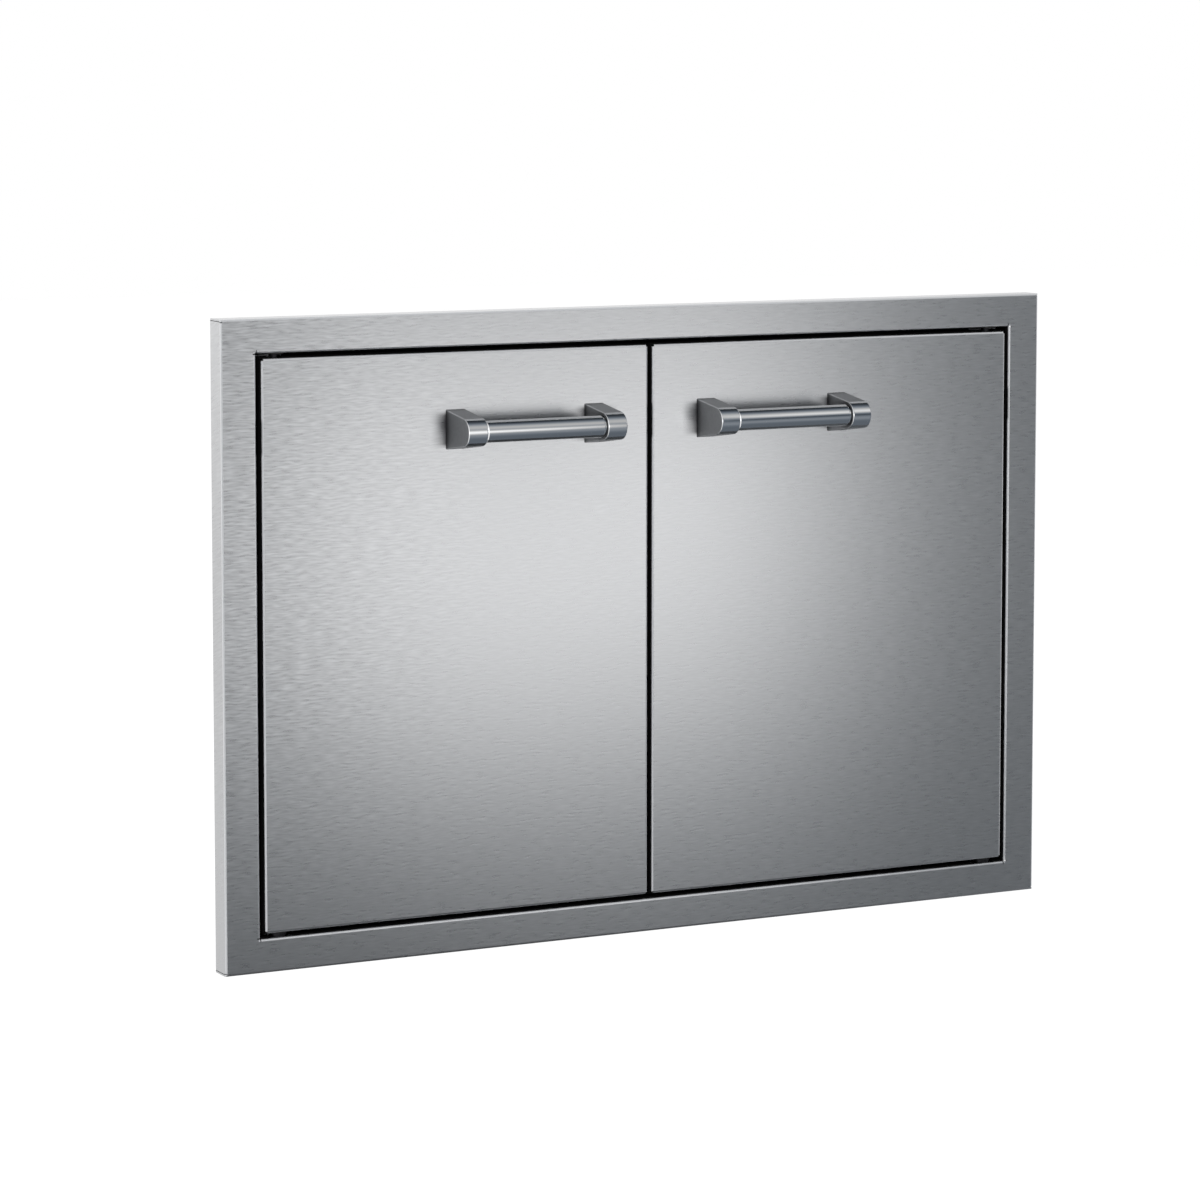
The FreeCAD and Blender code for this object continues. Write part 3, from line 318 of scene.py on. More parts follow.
def painted_contact_shade(wires, axes):
    """How much painted shade darkens the sheet near what stands close to it, from nought to one.

    On the front the shade is painted beside the handle posts, towards their feet, and behind the bars as a
    painted reflection of their dark backs. Deep in the reveals painted shade darkens the sheet while the
    doors are shut.
    """
    edge, bar_core, bar_fringe, bar_share = 0.004, 0.0055, 0.0135, 0.68
    return_y, front_y = -0.018, -0.020
    fade_end, fade_start = 0.0025, 0.0015
    sky = open_sky(wires, painted_shade_reach, samples=16)
    from_middle = wires.math("ABSOLUTE", axes[0])
    from_bar = wires.math("ABSOLUTE", wires.minus(axes[2], handle_z))
    level_with_post = wires.ramp(from_bar, post_half_height, post_half_height - edge)
    beside_post = wires.times(wires.ramp(sky, 1.0, 0.5), level_with_post)
    past_inner = wires.ramp(from_middle, shade_inner_x - edge, shade_inner_x + edge, smooth=True)
    short_of_outer = wires.ramp(from_middle, shade_outer_x + edge, shade_outer_x - edge, smooth=True)
    level_with_bar = wires.ramp(from_bar, bar_fringe, bar_core, 0.0, bar_share, smooth=True)
    behind_bar = wires.times(wires.times(past_inner, short_of_outer), level_with_bar)
    in_front = wires.ramp(axes[1], return_y, front_y)
    on_front = wires.times(wires.math("MAXIMUM", beside_post, behind_bar), in_front)
    in_reveal = wires.times(wires.minus(1.0, in_front), wires.ramp(sky, 0.8, 0.5))
    within_sides = wires.ramp(from_middle, open_half_width + fade_end, open_half_width + fade_start)
    from_level = wires.math("ABSOLUTE", axes[2])
    within_ends = wires.ramp(from_level, open_half_height + fade_end, open_half_height + fade_start)
    return wires.times(wires.plus(on_front, in_reveal), wires.times(within_sides, within_ends))


def sheet_steel(name, grey, roughness, streak_depth, contrast):
    """Brushed sheet. The grain runs along X on the front, and carries on round the folds on a slant.

    The belt has bitten deeper towards the left end of the sheet and hardly at all on the returns, and the
    folds are a little coarser and carry a painted highlight that lightens their colour. Painted shade darkens
    the sheet where other pieces stand close to it.
    """
    slant_along, slant_across = 0.9, 0.31
    hairline_share, cloud_share, fold_highlight_share = 0.15, 0.2, 0.9
    least_bite, return_bite = 0.28, 0.35
    bite_from_x, bite_to_x, bite_from_z, bite_to_z = -0.15, -0.38, -0.26, -0.05
    cloud_factor, fold_highlight_factor = 0.95, 1.4
    streak_roughness, fold_roughness = 0.04, 0.15
    made, wires, place = material(name)
    axes = wires.axes(place)
    along = wires.plus(axes[0], wires.times(axes[1], slant_along))
    across = wires.plus(axes[2], wires.times(axes[1], slant_across))
    grain_at = wires.node("ShaderNodeCombineXYZ", {0: along, 2: across}).outputs[0]
    grain = use(wires, GRAIN, Vector=grain_at)
    streaks = wires.times(grain["Streak"], 1 - hairline_share)
    tone = wires.plus(streaks, wires.times(grain["Hairline"], hairline_share))
    to_left = wires.ramp(axes[0], bite_from_x, bite_to_x)
    off_bottom = wires.ramp(axes[2], bite_from_z, bite_to_z)
    bite = wires.ramp(wires.times(to_left, off_bottom), 0.0, 1.0, least_bite, 1.0)
    bite = wires.times(bite, wires.ramp(sideways(wires), 0.5, 0.9, 1.0, return_bite))
    shown = wires.plus(0.5, wires.times(wires.minus(tone, 0.5), bite))
    brushed = wires.mix_colour(shown, shade(grey, 1 - contrast), shade(grey, 1 + contrast))
    cloud = wires.times(grain["Cloud"], cloud_share)
    clouded = wires.mix_colour(cloud, brushed, shade(grey, cloud_factor))
    folds = fold_mask(wires)
    # A painted highlight lightens the colour on the folds.
    folded = wires.mix_colour(wires.times(folds, fold_highlight_share), clouded, shade(grey, fold_highlight_factor))
    # Painted shade darkens the colour where other pieces stand close to the sheet.
    colour = wires.mix_colour(painted_contact_shade(wires, axes), folded, painted_shade_grey)
    rough = wires.plus(roughness - streak_roughness / 2, wires.times(tone, streak_roughness))
    rough = wires.plus(rough, wires.times(folds, fold_roughness))
    relief = bump(wires, tone, streak_depth)
    finish_surface(wires, Base_Color=colour, Metallic=1.0, Roughness=rough, Normal=relief)
    return made


def mill_steel(name, grey, roughness):
    """Plain mill sheet: faint rolling lines and a soft mottle in its gloss."""
    line_rate, line_depth = (18.0, 18.0, 900.0), 6e-6
    made, wires, place = material(name)
    mottle = use(wires, MOTTLE, Vector=place, Size=0.035)
    rolling = wires.noise(wires.vector("MULTIPLY", place, line_rate))
    colour = wires.mix_colour(mottle["Broad"], shade(grey, 0.98), shade(grey, 1.02))
    rough = wires.plus(roughness, wires.times(mottle["Fine"], 0.05))
    height = wires.plus(wires.times(rolling, 0.6), wires.times(mottle["Fine"], 0.2))
    relief = bump(wires, height, line_depth)
    finish_surface(wires, Base_Color=colour, Metallic=1.0, Roughness=rough, Normal=relief)
    return made


def hardware_steel(name, grey, roughness):
    """Small hardware with a fine mottle in its tone and gloss."""
    mottle_depth = 4e-6
    made, wires, place = material(name)
    mottle = use(wires, MOTTLE, Vector=place, Size=0.004)
    colour = wires.mix_colour(mottle["Broad"], shade(grey, 0.92), shade(grey, 1.05))
    rough = wires.plus(roughness, wires.times(mottle["Fine"], 0.1))
    relief = bump(wires, mottle["Fine"], mottle_depth)
    finish_surface(wires, Base_Color=colour, Metallic=1.0, Roughness=rough, Normal=relief)
    return made


def post_finish(name, flat, bright):
    """Handle post: satin graphite flats, a painted highlight on its edges, and a polished nose between its
    two flat sides.

    Painted shade darkens it close to the bar and to the door.
    """
    nose_edge, reach, satin_depth = 0.0002, 0.012, 1.5e-6
    edge_highlight_share, most_painted_shade, painted_shade_factor = 0.7, 0.85, 0.2
    satin_roughness, nose_roughness = 0.42, 0.08
    made, wires, place = material(name)
    in_nose = wires.ramp(wires.axes(place)[1], nose_start, nose_start - nose_edge)
    polished = wires.times(in_nose, wires.ramp(sideways(wires), 0.97, 0.93))
    mottle = use(wires, MOTTLE, Vector=place, Size=0.003)
    satin = wires.mix_colour(mottle["Broad"], shade(flat, 0.94), shade(flat, 1.06))
    # A painted highlight lightens the colour on the edges.
    edge_highlit = wires.mix_colour(wires.times(fold_mask(wires), edge_highlight_share), satin, bright)
    open_colour = wires.mix_colour(polished, edge_highlit, bright)
    # Painted shade darkens the colour near what stands close, such as the bar and the door.
    covered = wires.ramp(open_sky(wires, reach, samples=8), 0.93, 0.45, 0.0, most_painted_shade)
    colour = wires.mix_colour(covered, open_colour, shade(painted_shade_grey, painted_shade_factor))
    rough = wires.ramp(polished, 0.0, 1.0, satin_roughness, nose_roughness)
    relief = bump(wires, mottle["Fine"], satin_depth)
    finish_surface(wires, Base_Color=colour, Metallic=1.0, Roughness=rough, Normal=relief)
    return made


def chrome(name, grey):
    """Polished bar with the faintest polishing lines along it."""
    line_rate = (25.0, 2600.0, 2600.0)
    made, wires, place = material(name)
    lines = wires.noise(wires.vector("MULTIPLY", place, line_rate))
    colour = wires.mix_colour(lines, shade(grey, 0.97), shade(grey, 1.02))
    rough = wires.ramp(lines, 0.3, 0.7, 0.07, 0.11)
    finish_surface(wires, Base_Color=colour, Metallic=1.0, Roughness=rough)
    return made


def moulded(name, colour, roughness, size, depth, **shader):
    """Moulded plastic or rubber with a fine skin of the given depth and a soft change of tone.

    The size is that of the mottle in its tone and gloss.
    """
    made, wires, place = material(name)
    mottle = use(wires, MOTTLE, Vector=place, Size=size)
    tone = wires.mix_colour(mottle["Broad"], shade(colour, 0.85), shade(colour, 1.15))
    rough = wires.plus(roughness, wires.times(mottle["Broad"], 0.1))
    relief = bump(wires, mottle["Fine"], depth)
    finish_surface(wires, Base_Color=tone, Roughness=rough, Normal=relief, **shader)
    return made


def ground_magnet(name, colour):
    """Sintered magnet, ground flat: dark grey with fine grinding lines."""
    line_rate, line_depth = (60.0, 2400.0, 2400.0), 5e-6
    made, wires, place = material(name)
    lines = wires.noise(wires.vector("MULTIPLY", place, line_rate))
    tone = wires.mix_colour(lines, shade(colour, 0.8), shade(colour, 1.3))
    relief = bump(wires, lines, line_depth)
    finish_surface(wires, Base_Color=tone, Metallic=0.6, Roughness=0.5, Normal=relief)
    return made


FINISHES = {
    "brushed_face_steel": sheet_steel(
        "Brushed stainless", face_grey, roughness=0.285, streak_depth=2.0e-5, contrast=0.32
    ),
    "satin_inner_steel": mill_steel("Mill stainless", inner_grey, roughness=0.34),
    "hardware_steel": hardware_steel("Bright hardware", hardware_grey, roughness=0.2),
    "blackened_steel": hardware_steel("Black oxide hardware", black_steel, roughness=0.35),
    "dark_satin_post": post_finish("Graphite post with polished nose", post_grey, chrome_grey),
    "polished_bar": chrome("Polished bar", chrome_grey),
    "black_nylon": moulded(
        "Black nylon", (0.015, 0.015, 0.015), roughness=0.6, size=0.006, depth=1e-5, Specular_IOR_Level=0.15
    ),
    "black_plastic": moulded(
        "Black moulded plastic", (0.025, 0.025, 0.026), roughness=0.42, size=0.002, depth=2e-5
    ),
    "magnet": ground_magnet("Ground magnet", (0.09, 0.09, 0.095)),
    "black_rubber": moulded(
        "Black rubber", (0.003, 0.003, 0.0032), roughness=0.8, size=0.004, depth=2e-5, Specular_IOR_Level=0.06
    ),
}

for node in NODES.values():
    for held in node.material_slots:
        held.material = FINISHES[held.material.name.split(".")[0]]


def axes_towards(direction):
    """Three unit vectors as rows, the third along direction and the first as near to X as it can be."""
    third = np.array(direction, float)
    third /= np.linalg.norm(third)
    start = np.array([1.0, 0, 0]) if abs(third[0]) < 0.9 else np.array([0, 1.0, 0])
    second = np.cross(third, start)
    second /= np.linalg.norm(second)
    return np.stack([np.cross(second, third), second, third])


def placed(form, origin, direction=(0, 0, 1)):
    """The form with its own third axis turned to direction and its origin moved to origin."""
    points, faces = form
    return points @ axes_towards(direction) + np.array(origin, float), faces


def joined(forms):
    """Several forms as one."""
    points, faces, count = [], [], 0
    for some, around in forms:
        points.append(some)
        faces.extend([tuple(i + count for i in face) for face in around])
        count += len(some)
    return np.concatenate(points), faces


def mirrored(form):
    """The mirror image in the plane x = 0, with its faces turned so that they still point outwards."""
    points, faces = form
    return points * np.array([-1.0, 1, 1]), [face[::-1] for face in faces]


def ring_faces(rows, turns):
    """Quads between neighbouring rows of rings, which run anticlockwise seen from the last row."""
    row = np.arange(rows - 1)[:, None] * turns
    here = np.arange(turns)[None]
    there = (here + 1) % turns
    corners = [row + here, row + there, row + turns + there, row + turns + here]
    return [tuple(face) for face in np.stack(corners, -1).reshape(-1, 4).tolist()]


def tube_faces(rows, turns):
    """Quads between neighbouring rows of rings, and one flat face at each end."""
    last = (rows - 1) * turns
    ends = [tuple(range(turns))[::-1], tuple(range(last, last + turns))]
    return ring_faces(rows, turns) + ends


def turned(radius, height, turns):
    """A turned form about its third axis: radius and height for each row and turn, with a pole at both ends.

    A point is (radius cos a, radius sin a, height), where a is the turn's angle. The first row is the lower
    pole's height and the last row the upper pole's, and each pole joins its neighbouring ring in a fan.
    """
    radius = np.broadcast_to(np.asarray(radius, float).reshape(len(radius), -1), (len(radius), turns))
    height = np.broadcast_to(np.asarray(height, float).reshape(len(height), -1), (len(height), turns))
    angle = np.arange(turns) * (2 * math.pi / turns)
    rings = np.stack([radius * np.cos(angle), radius * np.sin(angle), height], -1)[1:-1]
    rows = len(rings)
    points = np.concatenate([rings.reshape(-1, 3), [[0, 0, height[0, 0]], [0, 0, height[-1, 0]]]])
    here = np.arange(turns)
    there = (here + 1) % turns
    low, high = rows * turns, rows * turns + 1
    last = (rows - 1) * turns
    faces = ring_faces(rows, turns)
    faces += list(zip([low] * turns, there.tolist(), here.tolist()))
    faces += list(zip([high] * turns, (last + here).tolist(), (last + there).tolist()))
    return points, faces


def soft_step(value, low, high):
    """0 below low and 1 above high, and three squares less two cubes between them."""
    share = np.clip((value - low) / (high - low), 0, 1)
    return share * share * (3 - 2 * share)


def pan_screw(shank, length, head, rise):
    """Pan-head screw with a cross recess, its seat at height 0 and its head above.

    The head's top is a low dome. Its recess is the larger of two soft-edged bars across the middle, deeper
    towards the centre. The shank and the head are given by their radii.
    """
    turns, rings, dome_rise = 64, 24, 0.0001
    corner = 0.55 * rise
    flat = head - corner
    shank_radius = [0, 0.75 * shank, shank, shank, head]
    shank_height = [-length, -length, -length + 0.3 * shank, 0, 0]
    bend = np.linspace(0, math.pi / 2, 6)
    rim_height = rise - dome_rise - corner + corner * np.sin(bend)
    inwards = np.linspace(flat, 0, rings + 1)[1:]
    radius = np.concatenate([shank_radius, flat + corner * np.cos(bend), inwards])
    height = np.concatenate([shank_height, rim_height, np.full(rings, rise - dome_rise)])[:, None]
    on_top = np.arange(len(radius))[:, None] >= len(radius) - rings - 1
    dome = dome_rise * (1 - (np.minimum(radius, flat) / flat) ** 2)[:, None]
    angle = np.arange(turns) * (2 * math.pi / turns)
    across, along = np.abs(radius[:, None] * np.cos(angle)), np.abs(radius[:, None] * np.sin(angle))
    half, arm, edge = 0.15 * head, 0.56 * head, 0.03 * head
    bars = [
        (1 - soft_step(wide, half - edge, half + edge)) * (1 - soft_step(long, arm - edge, arm + edge))
        for wide, long in ((across, along), (along, across))
    ]
    depth = 0.6 * rise * (1 - 0.45 * np.hypot(across, along) / arm)
    return turned(radius, height + np.where(on_top, dome - np.maximum(*bars) * depth, 0), turns)


def knurled_knob():
    """Pull knob of the upper pin: a stud, a knurled rim and a face with a turned hollow.

    The rim's radius falls by the knurl's depth along two families of slanting grooves, where the sine of
    half the sum or the difference of the knurl count times the angle and the height over the groove's rise
    is near nought.
    """
    turns, knurls, depth, groove_rise = 288, 36, 0.00028, 0.00048
    rim, thick, chamfer, hollow = 0.0055, 0.0045, 0.0006, 0.0005
    stud, stud_end, stud_chamfer = 0.0025, -0.0099, 0.0004
    face = thick - hollow
    outline = [(0, stud_end), (0.9 * stud, stud_end), (stud, stud_end + stud_chamfer), (stud, 0)]
    outline.append((rim - chamfer, 0))
    outline += [(rim, level) for level in np.linspace(chamfer, thick - chamfer, 22)]
    outline += [(rim - chamfer, thick), (0.0042, thick), (0.0038, face), (0.002, face), (0, face)]
    radius, height = np.array(outline)[:, :, None].transpose(1, 0, 2)
    angle = np.arange(turns) * (2 * math.pi / turns)
    grooves = [
        1 - np.abs(np.sin((knurls * angle + slant * height / groove_rise) / 2)) for slant in (-1, 1)
    ]
    cut = np.clip(grooves[0] ** 3 + grooves[1] ** 3, 0, 1)
    margin = 1.3 * chamfer
    on_side = (height > margin) & (height < thick - margin) & (radius == rim)
    return turned(radius - np.where(on_side, cut * depth, 0), height, turns)


def coil_spring(radius, wire, low, high):
    """Compression spring about its third axis, one round wire whose last turn at each end lies close.

    Its centreline is (radius cos a, radius sin a, h). The height h gains a close pitch in the end turns and
    a wide one between, and the two blend over six tenths of a turn. The section's circle is carried on the
    direction away from the axis and the one square to it and to the wire.
    """
    coils, steps, sides = 8.5, 34, 12
    close, blend_start, blend_end = 1.03 * wire, 0.8, 1.4
    turn = np.linspace(0, coils, int(coils * steps) + 1)
    wide = soft_step(turn, blend_start, blend_end) * soft_step(coils - turn, blend_start, blend_end)
    gain = np.concatenate([[0], np.cumsum(np.diff(turn) * 0.5 * (wide[1:] + wide[:-1]))])
    height = low + close * turn + gain / gain[-1] * (high - low - close * coils)
    angle = 2 * math.pi * turn
    away = np.stack([np.cos(angle), np.sin(angle), 0 * angle], 1)
    line = away * radius
    line[:, 2] = height
    heading = np.gradient(line, axis=0)
    heading /= np.linalg.norm(heading, axis=1)[:, None]
    square = np.cross(heading, away)
    around = (np.arange(sides) * (2 * math.pi / sides))[None, :, None]
    circle = away[:, None] * np.cos(around) + square[:, None] * np.sin(around)
    points = (line[:, None] + circle * wire / 2).reshape(-1, 3)
    return points, tube_faces(len(turn), sides)


def carried(path, corner, profile):
    """A closed profile carried along an open path in the XZ plane, with flat ends.

    A point is the path's point plus the profile's height times the corner's direction, at the profile's
    depth in Y. The directions are drawn out at mitred corners, so the profile keeps its size along each run.
    The faces are turned round where the directions point to the left of the path, so that they always face
    outwards.
    """
    path, corner, profile = (np.array(values, float) for values in (path, corner, profile))
    flat = path[:, None] + profile[None, :, :1] * corner[:, None]
    depth = np.broadcast_to(profile[None, :, 1], flat.shape[:2])
    points = np.stack([flat[..., 0], depth, flat[..., 1]], -1).reshape(-1, 3)
    faces = tube_faces(len(path), len(profile))
    heading = path[1] - path[0]
    if heading[0] * corner[0, 1] > heading[1] * corner[0, 0]:
        faces = [face[::-1] for face in faces]
    return points, faces


def ribbed_profile(front, back, thick, ribs, rise):
    """Rubber strip: a thin base from front to back, with rounded ribs of the given rise at the given depths.

    A rib is its rise times e to the power of minus the squared distance from its depth, measured in the
    ribs' width. The base thins softly towards its two edges.
    """
    rib_width, taper, edge_share = 0.00055, 0.0006, 0.35
    depth = np.linspace(front, back, 90)
    swell = sum(np.exp(-(((depth - rib) / rib_width) ** 2)) for rib in ribs)
    body = np.minimum(soft_step(depth, front, front + taper), soft_step(-depth, -back, -back + taper))
    top = thick * (edge_share + (1 - edge_share) * body) + rise * np.minimum(swell, 1)
    return np.concatenate([np.stack([top, depth], 1), [[0, back], [0, front]]])


def door_seal_form():
    """Ribbed seal round the returns of the left door, open where the hinge pins pass through it."""
    profile = ribbed_profile(
        front=-0.0226, back=-0.0084, thick=0.0007, ribs=(-0.0192, -0.0155, -0.0118), rise=0.0006
    )
    low_gap, high_gap = 0.010, 0.005
    x0, x1, z1 = door_hinge_x, door_free_x, door_top
    long_run = carried(
        [(hinge_x + low_gap, -z1), (x1, -z1), (x1, z1), (hinge_x + high_gap, z1)],
        [(0, -1), (1, -1), (1, 1), (0, 1)], profile,
    )
    short_run = carried(
        [(hinge_x - high_gap, z1), (x0, z1), (x0, -z1), (hinge_x - low_gap, -z1)],
        [(0, 1), (-1, 1), (-1, -1), (0, -1)], profile,
    )
    return joined([long_run, short_run])


def frame_seal_form():
    """Ribbed lining on the inner flanges of the frame, open where the hinge pins and bushes pass.

    The top and bottom runs have a deeper lip behind the doors, which closes the gap to light. The sides have
    none, because the doors' hinge edges turn there.
    """
    sides = ribbed_profile(front=-0.0216, back=-0.0020, thick=0.0007, ribs=(-0.0199, -0.0045), rise=0.0005)
    lip_rise, lip_y, lip_width = 0.0029, -0.0042, 0.0008
    lipped = sides.copy()
    lip = np.exp(-(((lipped[:, 1] - lip_y) / lip_width) ** 2))
    lipped[:, 0] += np.where(lipped[:, 0] > 0, lip_rise * lip, 0)
    low_gap, high_gap, lip_gap = 0.009, 0.010, 0.012
    x, z = open_half_width, open_half_height
    side = carried(
        [(-hinge_x + low_gap, -z), (x, -z), (x, z), (-hinge_x + high_gap, z)],
        [(0, 1), (-1, 1), (-1, -1), (0, -1)], sides,
    )
    low = carried([(hinge_x + lip_gap, -z), (-hinge_x - lip_gap, -z)], [(0, 1), (0, 1)], lipped)
    high = carried([(-hinge_x - lip_gap, z), (hinge_x + lip_gap, z)], [(0, -1), (0, -1)], lipped)
    return joined([side, mirrored(side), low, high])


def centre_seal_form():
    """Bulb seal on the free edge of the left door: a half round bulb with two fine grooves, carried up Z.

    The bulb stands out by the square root of the cosine of the angle round it, less a narrow groove on each
    side of its tip.
    """
    flat_x, tip_x, front_y, deep, overlap = -0.00145, 0.00095, -0.020, 0.009, 0.0001
    groove_angle, groove_width, groove_share = 0.62, 0.07, 0.18
    around = np.linspace(-math.pi / 2, math.pi / 2, 60)
    groove = np.exp(-(((np.abs(around) - groove_angle) / groove_width) ** 2))
    bulge = np.cos(around) ** 0.5 * (1 - groove_share * groove)
    bulb = np.stack([flat_x + (tip_x - flat_x) * bulge, front_y + deep / 2 * (1 + np.sin(around))], 1)
    outline = np.concatenate([bulb, [[flat_x - overlap, front_y + deep], [flat_x - overlap, front_y]]])
    count = len(outline)
    sections = np.broadcast_to(outline, (2, count, 2))
    heights = np.broadcast_to(np.array([-door_top, door_top])[:, None, None], (2, count, 1))
    return np.concatenate([sections, heights], -1).reshape(-1, 3), tube_faces(2, count)


def bumper():
    """Rubber button: a wide foot, a waist and a rounded tip, turned about its third axis."""
    turns, length, tip_flat, tip_round = 40, 0.0097, 0.0022, 0.0015
    outline = [(0, 0), (0.0046, 0), (0.0050, 0.0004), (0.0050, 0.0016), (0.0046, 0.0021), (0.0040, 0.0027)]
    outline += [(0.0038, 0.0045), (0.00375, length - 0.0018)]
    outline += [
        (tip_flat + tip_round * math.cos(bend), length - 0.0016 + tip_round * math.sin(bend))
        for bend in np.linspace(0, math.pi / 2, 7)
    ]
    outline += [(0.0011, length - 0.00005), (0, length)]
    radius, height = np.array(outline).T
    return turned(radius, height, turns)


def mesh_object(name, form):
    """A new object in the scene with the form as its mesh."""
    points, faces = form
    mesh = bpy.data.meshes.new(name)
    mesh.from_pydata(np.asarray(points).tolist(), [], faces)
    made = bpy.data.objects.new(name, mesh)
    bpy.context.scene.collection.objects.link(made)
    return made


def fine_piece(node, form, body, slot):
    """Makes the form a piece that stands for a CAD node, rides on a body and has a slot's finish."""
    made = mesh_object(node + ".fine", form)
    made.data.shade_smooth()
    made.data.set_sharp_from_angle(angle=edge_angle)
    made.data.materials.append(FINISHES[slot])
    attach(made, body)
    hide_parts(node)
    return made


def liner_screw_places():
    """Three screws along each edge of a door's liner, seven millimetres in from the edge."""
    inset, corner = 0.007, 0.085
    along = np.linspace(door_hinge_x + corner, door_free_x - corner, 3)
    up = np.linspace(-door_top + corner, door_top - corner, 3)
    edges = [(x, z) for x in along for z in (inset - door_top, door_top - inset)]
    return edges + [(x, z) for z in up for x in (door_hinge_x + inset, door_free_x - inset)]


def dress_doors():
    """The pieces of each door that get more detail than their solids have."""
    backwards = (0, 1, 0)
    knob_z, knob_lift = 0.1978, 0.0004
    spring_radius, spring_wire, spring_inset = 0.0053, 0.0012, 0.00065
    screw = pan_screw(shank=0.00175, length=0.006, head=0.0035, rise=0.0018)
    screws = [placed(screw, (x, door_back_y, z), backwards) for x, z in liner_screw_places()]
    spring = coil_spring(spring_radius, spring_wire, spring_low + spring_inset, spring_high - spring_inset)
    forms = {
        "liner_screws": joined(screws),
        "door_edge_seal": door_seal_form(),
        "release_knob": placed(knurled_knob(), (hinge_x, door_back_y + knob_lift, knob_z), backwards),
        "pin_spring": placed(spring, (hinge_x, hinge_y, 0)),
    }
    for name, form in forms.items():
        slot = "black_rubber" if name == "door_edge_seal" else "hardware_steel"
        for side, shape, x in (("left", form, hinge_x), ("right", mirrored(form), -hinge_x)):
            body = side + ("_release_pin" if name == "release_knob" else "_door")
            made = fine_piece(side + "_" + name, shape, body, slot)
            if name == "pin_spring":
                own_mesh(made)
    fine_piece("centre_seal", centre_seal_form(), "left_door", "black_rubber")


def dress_frame():
    """The pieces of the frame that get more detail than their solids have."""
    forwards = (0, -1, 0)
    catch_z, catch_reach = 0.2375, 0.0335
    bumper_x, bumper_z = 0.05, open_half_height - 0.011
    screw = pan_screw(shank=0.00175, length=0.0105, head=0.0035, rise=0.0022)
    screws = [placed(screw, (x, catch_seat_y, catch_z), forwards) for x in (-catch_reach, 0.0, catch_reach)]
    bumper_places = [(x, stop_front_y, z) for x in (-bumper_x, bumper_x) for z in (-bumper_z, bumper_z)]
    bumpers = [placed(bumper(), place, forwards) for place in bumper_places]
    fine_piece("catch_screws", joined(screws), "frame", "hardware_steel")
    fine_piece("stop_bumpers", joined(bumpers), "frame", "black_rubber")
    fine_piece("frame_edge_seal", frame_seal_form(), "frame", "black_rubber")


def lamp(name, place, size, power):
    """A square soft lamp that looks at the middle of the doors."""
    data = bpy.data.lights.new(name, "AREA")
    data.size = size
    data.energy = power
    made = bpy.data.objects.new(name, data)
    bpy.context.scene.collection.objects.link(made)
    made.location = place
    made.rotation_mode = "QUATERNION"
    made.rotation_quaternion = (-Vector(place)).to_track_quat("-Z", "Y")
    made.visible_glossy = False


def floor():
    """Plain pale floor, white to the camera, which keeps a faint shadow of the doors."""
    r, z = floor_reach, floor_height
    made = mesh_object("Floor", ([(-r, -r, z), (r, -r, z), (r, r, z), (-r, r, z)], [(0, 1, 2, 3)]))
    finish, wires, _ = material("Pale floor")
    seen = wires.node("ShaderNodeLightPath").outputs["Is Camera Ray"]
    plain = wires.node("ShaderNodeBsdfDiffuse", {"Color": (0.8, 0.8, 0.8)}).outputs[0]
    shaded = wires.node("ShaderNodeBsdfDiffuse", {"Color": (0.3, 0.3, 0.3)}).outputs[0]
    white = wires.node("ShaderNodeEmission", {"Strength": 0.8}).outputs[0]
    pale = wires.node("ShaderNodeAddShader", {0: shaded, 1: white}).outputs[0]
    both = wires.node("ShaderNodeMixShader", {0: seen, 1: plain, 2: pale}).outputs[0]
    wires.node("ShaderNodeOutputMaterial", {"Surface": both})
    made.data.materials.append(finish)
    made.visible_glossy = made.visible_shadow = False


def studio_world():
    """White where the camera or a reflection sees it, and a plain even light on everything else."""
    world = bpy.data.worlds.new("Studio")
    bpy.context.scene.world = world
    world.use_nodes = True
    wires = Wiring(world.node_tree)
    path = wires.node("ShaderNodeLightPath").outputs
    seen = wires.math("MAXIMUM", path["Is Camera Ray"], path["Is Glossy Ray"])
    seen = wires.math("MAXIMUM", seen, path["Is Transmission Ray"])
    even = wires.node("ShaderNodeBackground", {"Color": (1, 1, 1), "Strength": 0.7}).outputs[0]
    white = wires.node("ShaderNodeBackground", {"Color": (1, 1, 1), "Strength": 1.0}).outputs[0]
    both = wires.node("ShaderNodeMixShader", {0: seen, 1: even, 2: white}).outputs[0]
    wires.node("ShaderNodeOutputWorld", {"Surface": both})


def tent_shell(name, radius):
    """A sphere about the doors that only reflections see, turned about Z.

    A point is (radius cos b cos a, radius cos b sin a, radius sin b), where b rises from pole to pole.
    """
    turns, rows = 96, 49
    rise = np.linspace(-math.pi / 2, math.pi / 2, rows)
    made = mesh_object(name, turned(radius * np.cos(rise), radius * np.sin(rise), turns))
    made.data.shade_smooth()
    made.visible_camera = made.visible_diffuse = made.visible_shadow = made.visible_volume_scatter = False
    return made


def light_the_tent(made, finish, wires, level, tint, seen_through):
    """Gives a tent its light, and lets what lies outside it show through if seen_through is true."""
    light = wires.node("ShaderNodeEmission", {"Color": tint, "Strength": level}).outputs[0]
    if seen_through:
        clear = wires.node("ShaderNodeBsdfTransparent").outputs[0]
        light = wires.node("ShaderNodeAddShader", {0: light, 1: clear}).outputs[0]
    wires.node("ShaderNodeOutputMaterial", {"Surface": light})
    finish.cycles.emission_sampling = "NONE"
    made.data.materials.append(finish)


def light_only(made, pieces, state):
    """Links a tent's light to the pieces, or with EXCLUDE to all but them."""
    chosen = bpy.data.collections.new(made.name + " pieces")
    for held in pieces:
        chosen.objects.link(held)
    for entry in chosen.collection_objects:
        entry.light_linking.link_state = state
    made.light_linking.receiver_collection = chosen


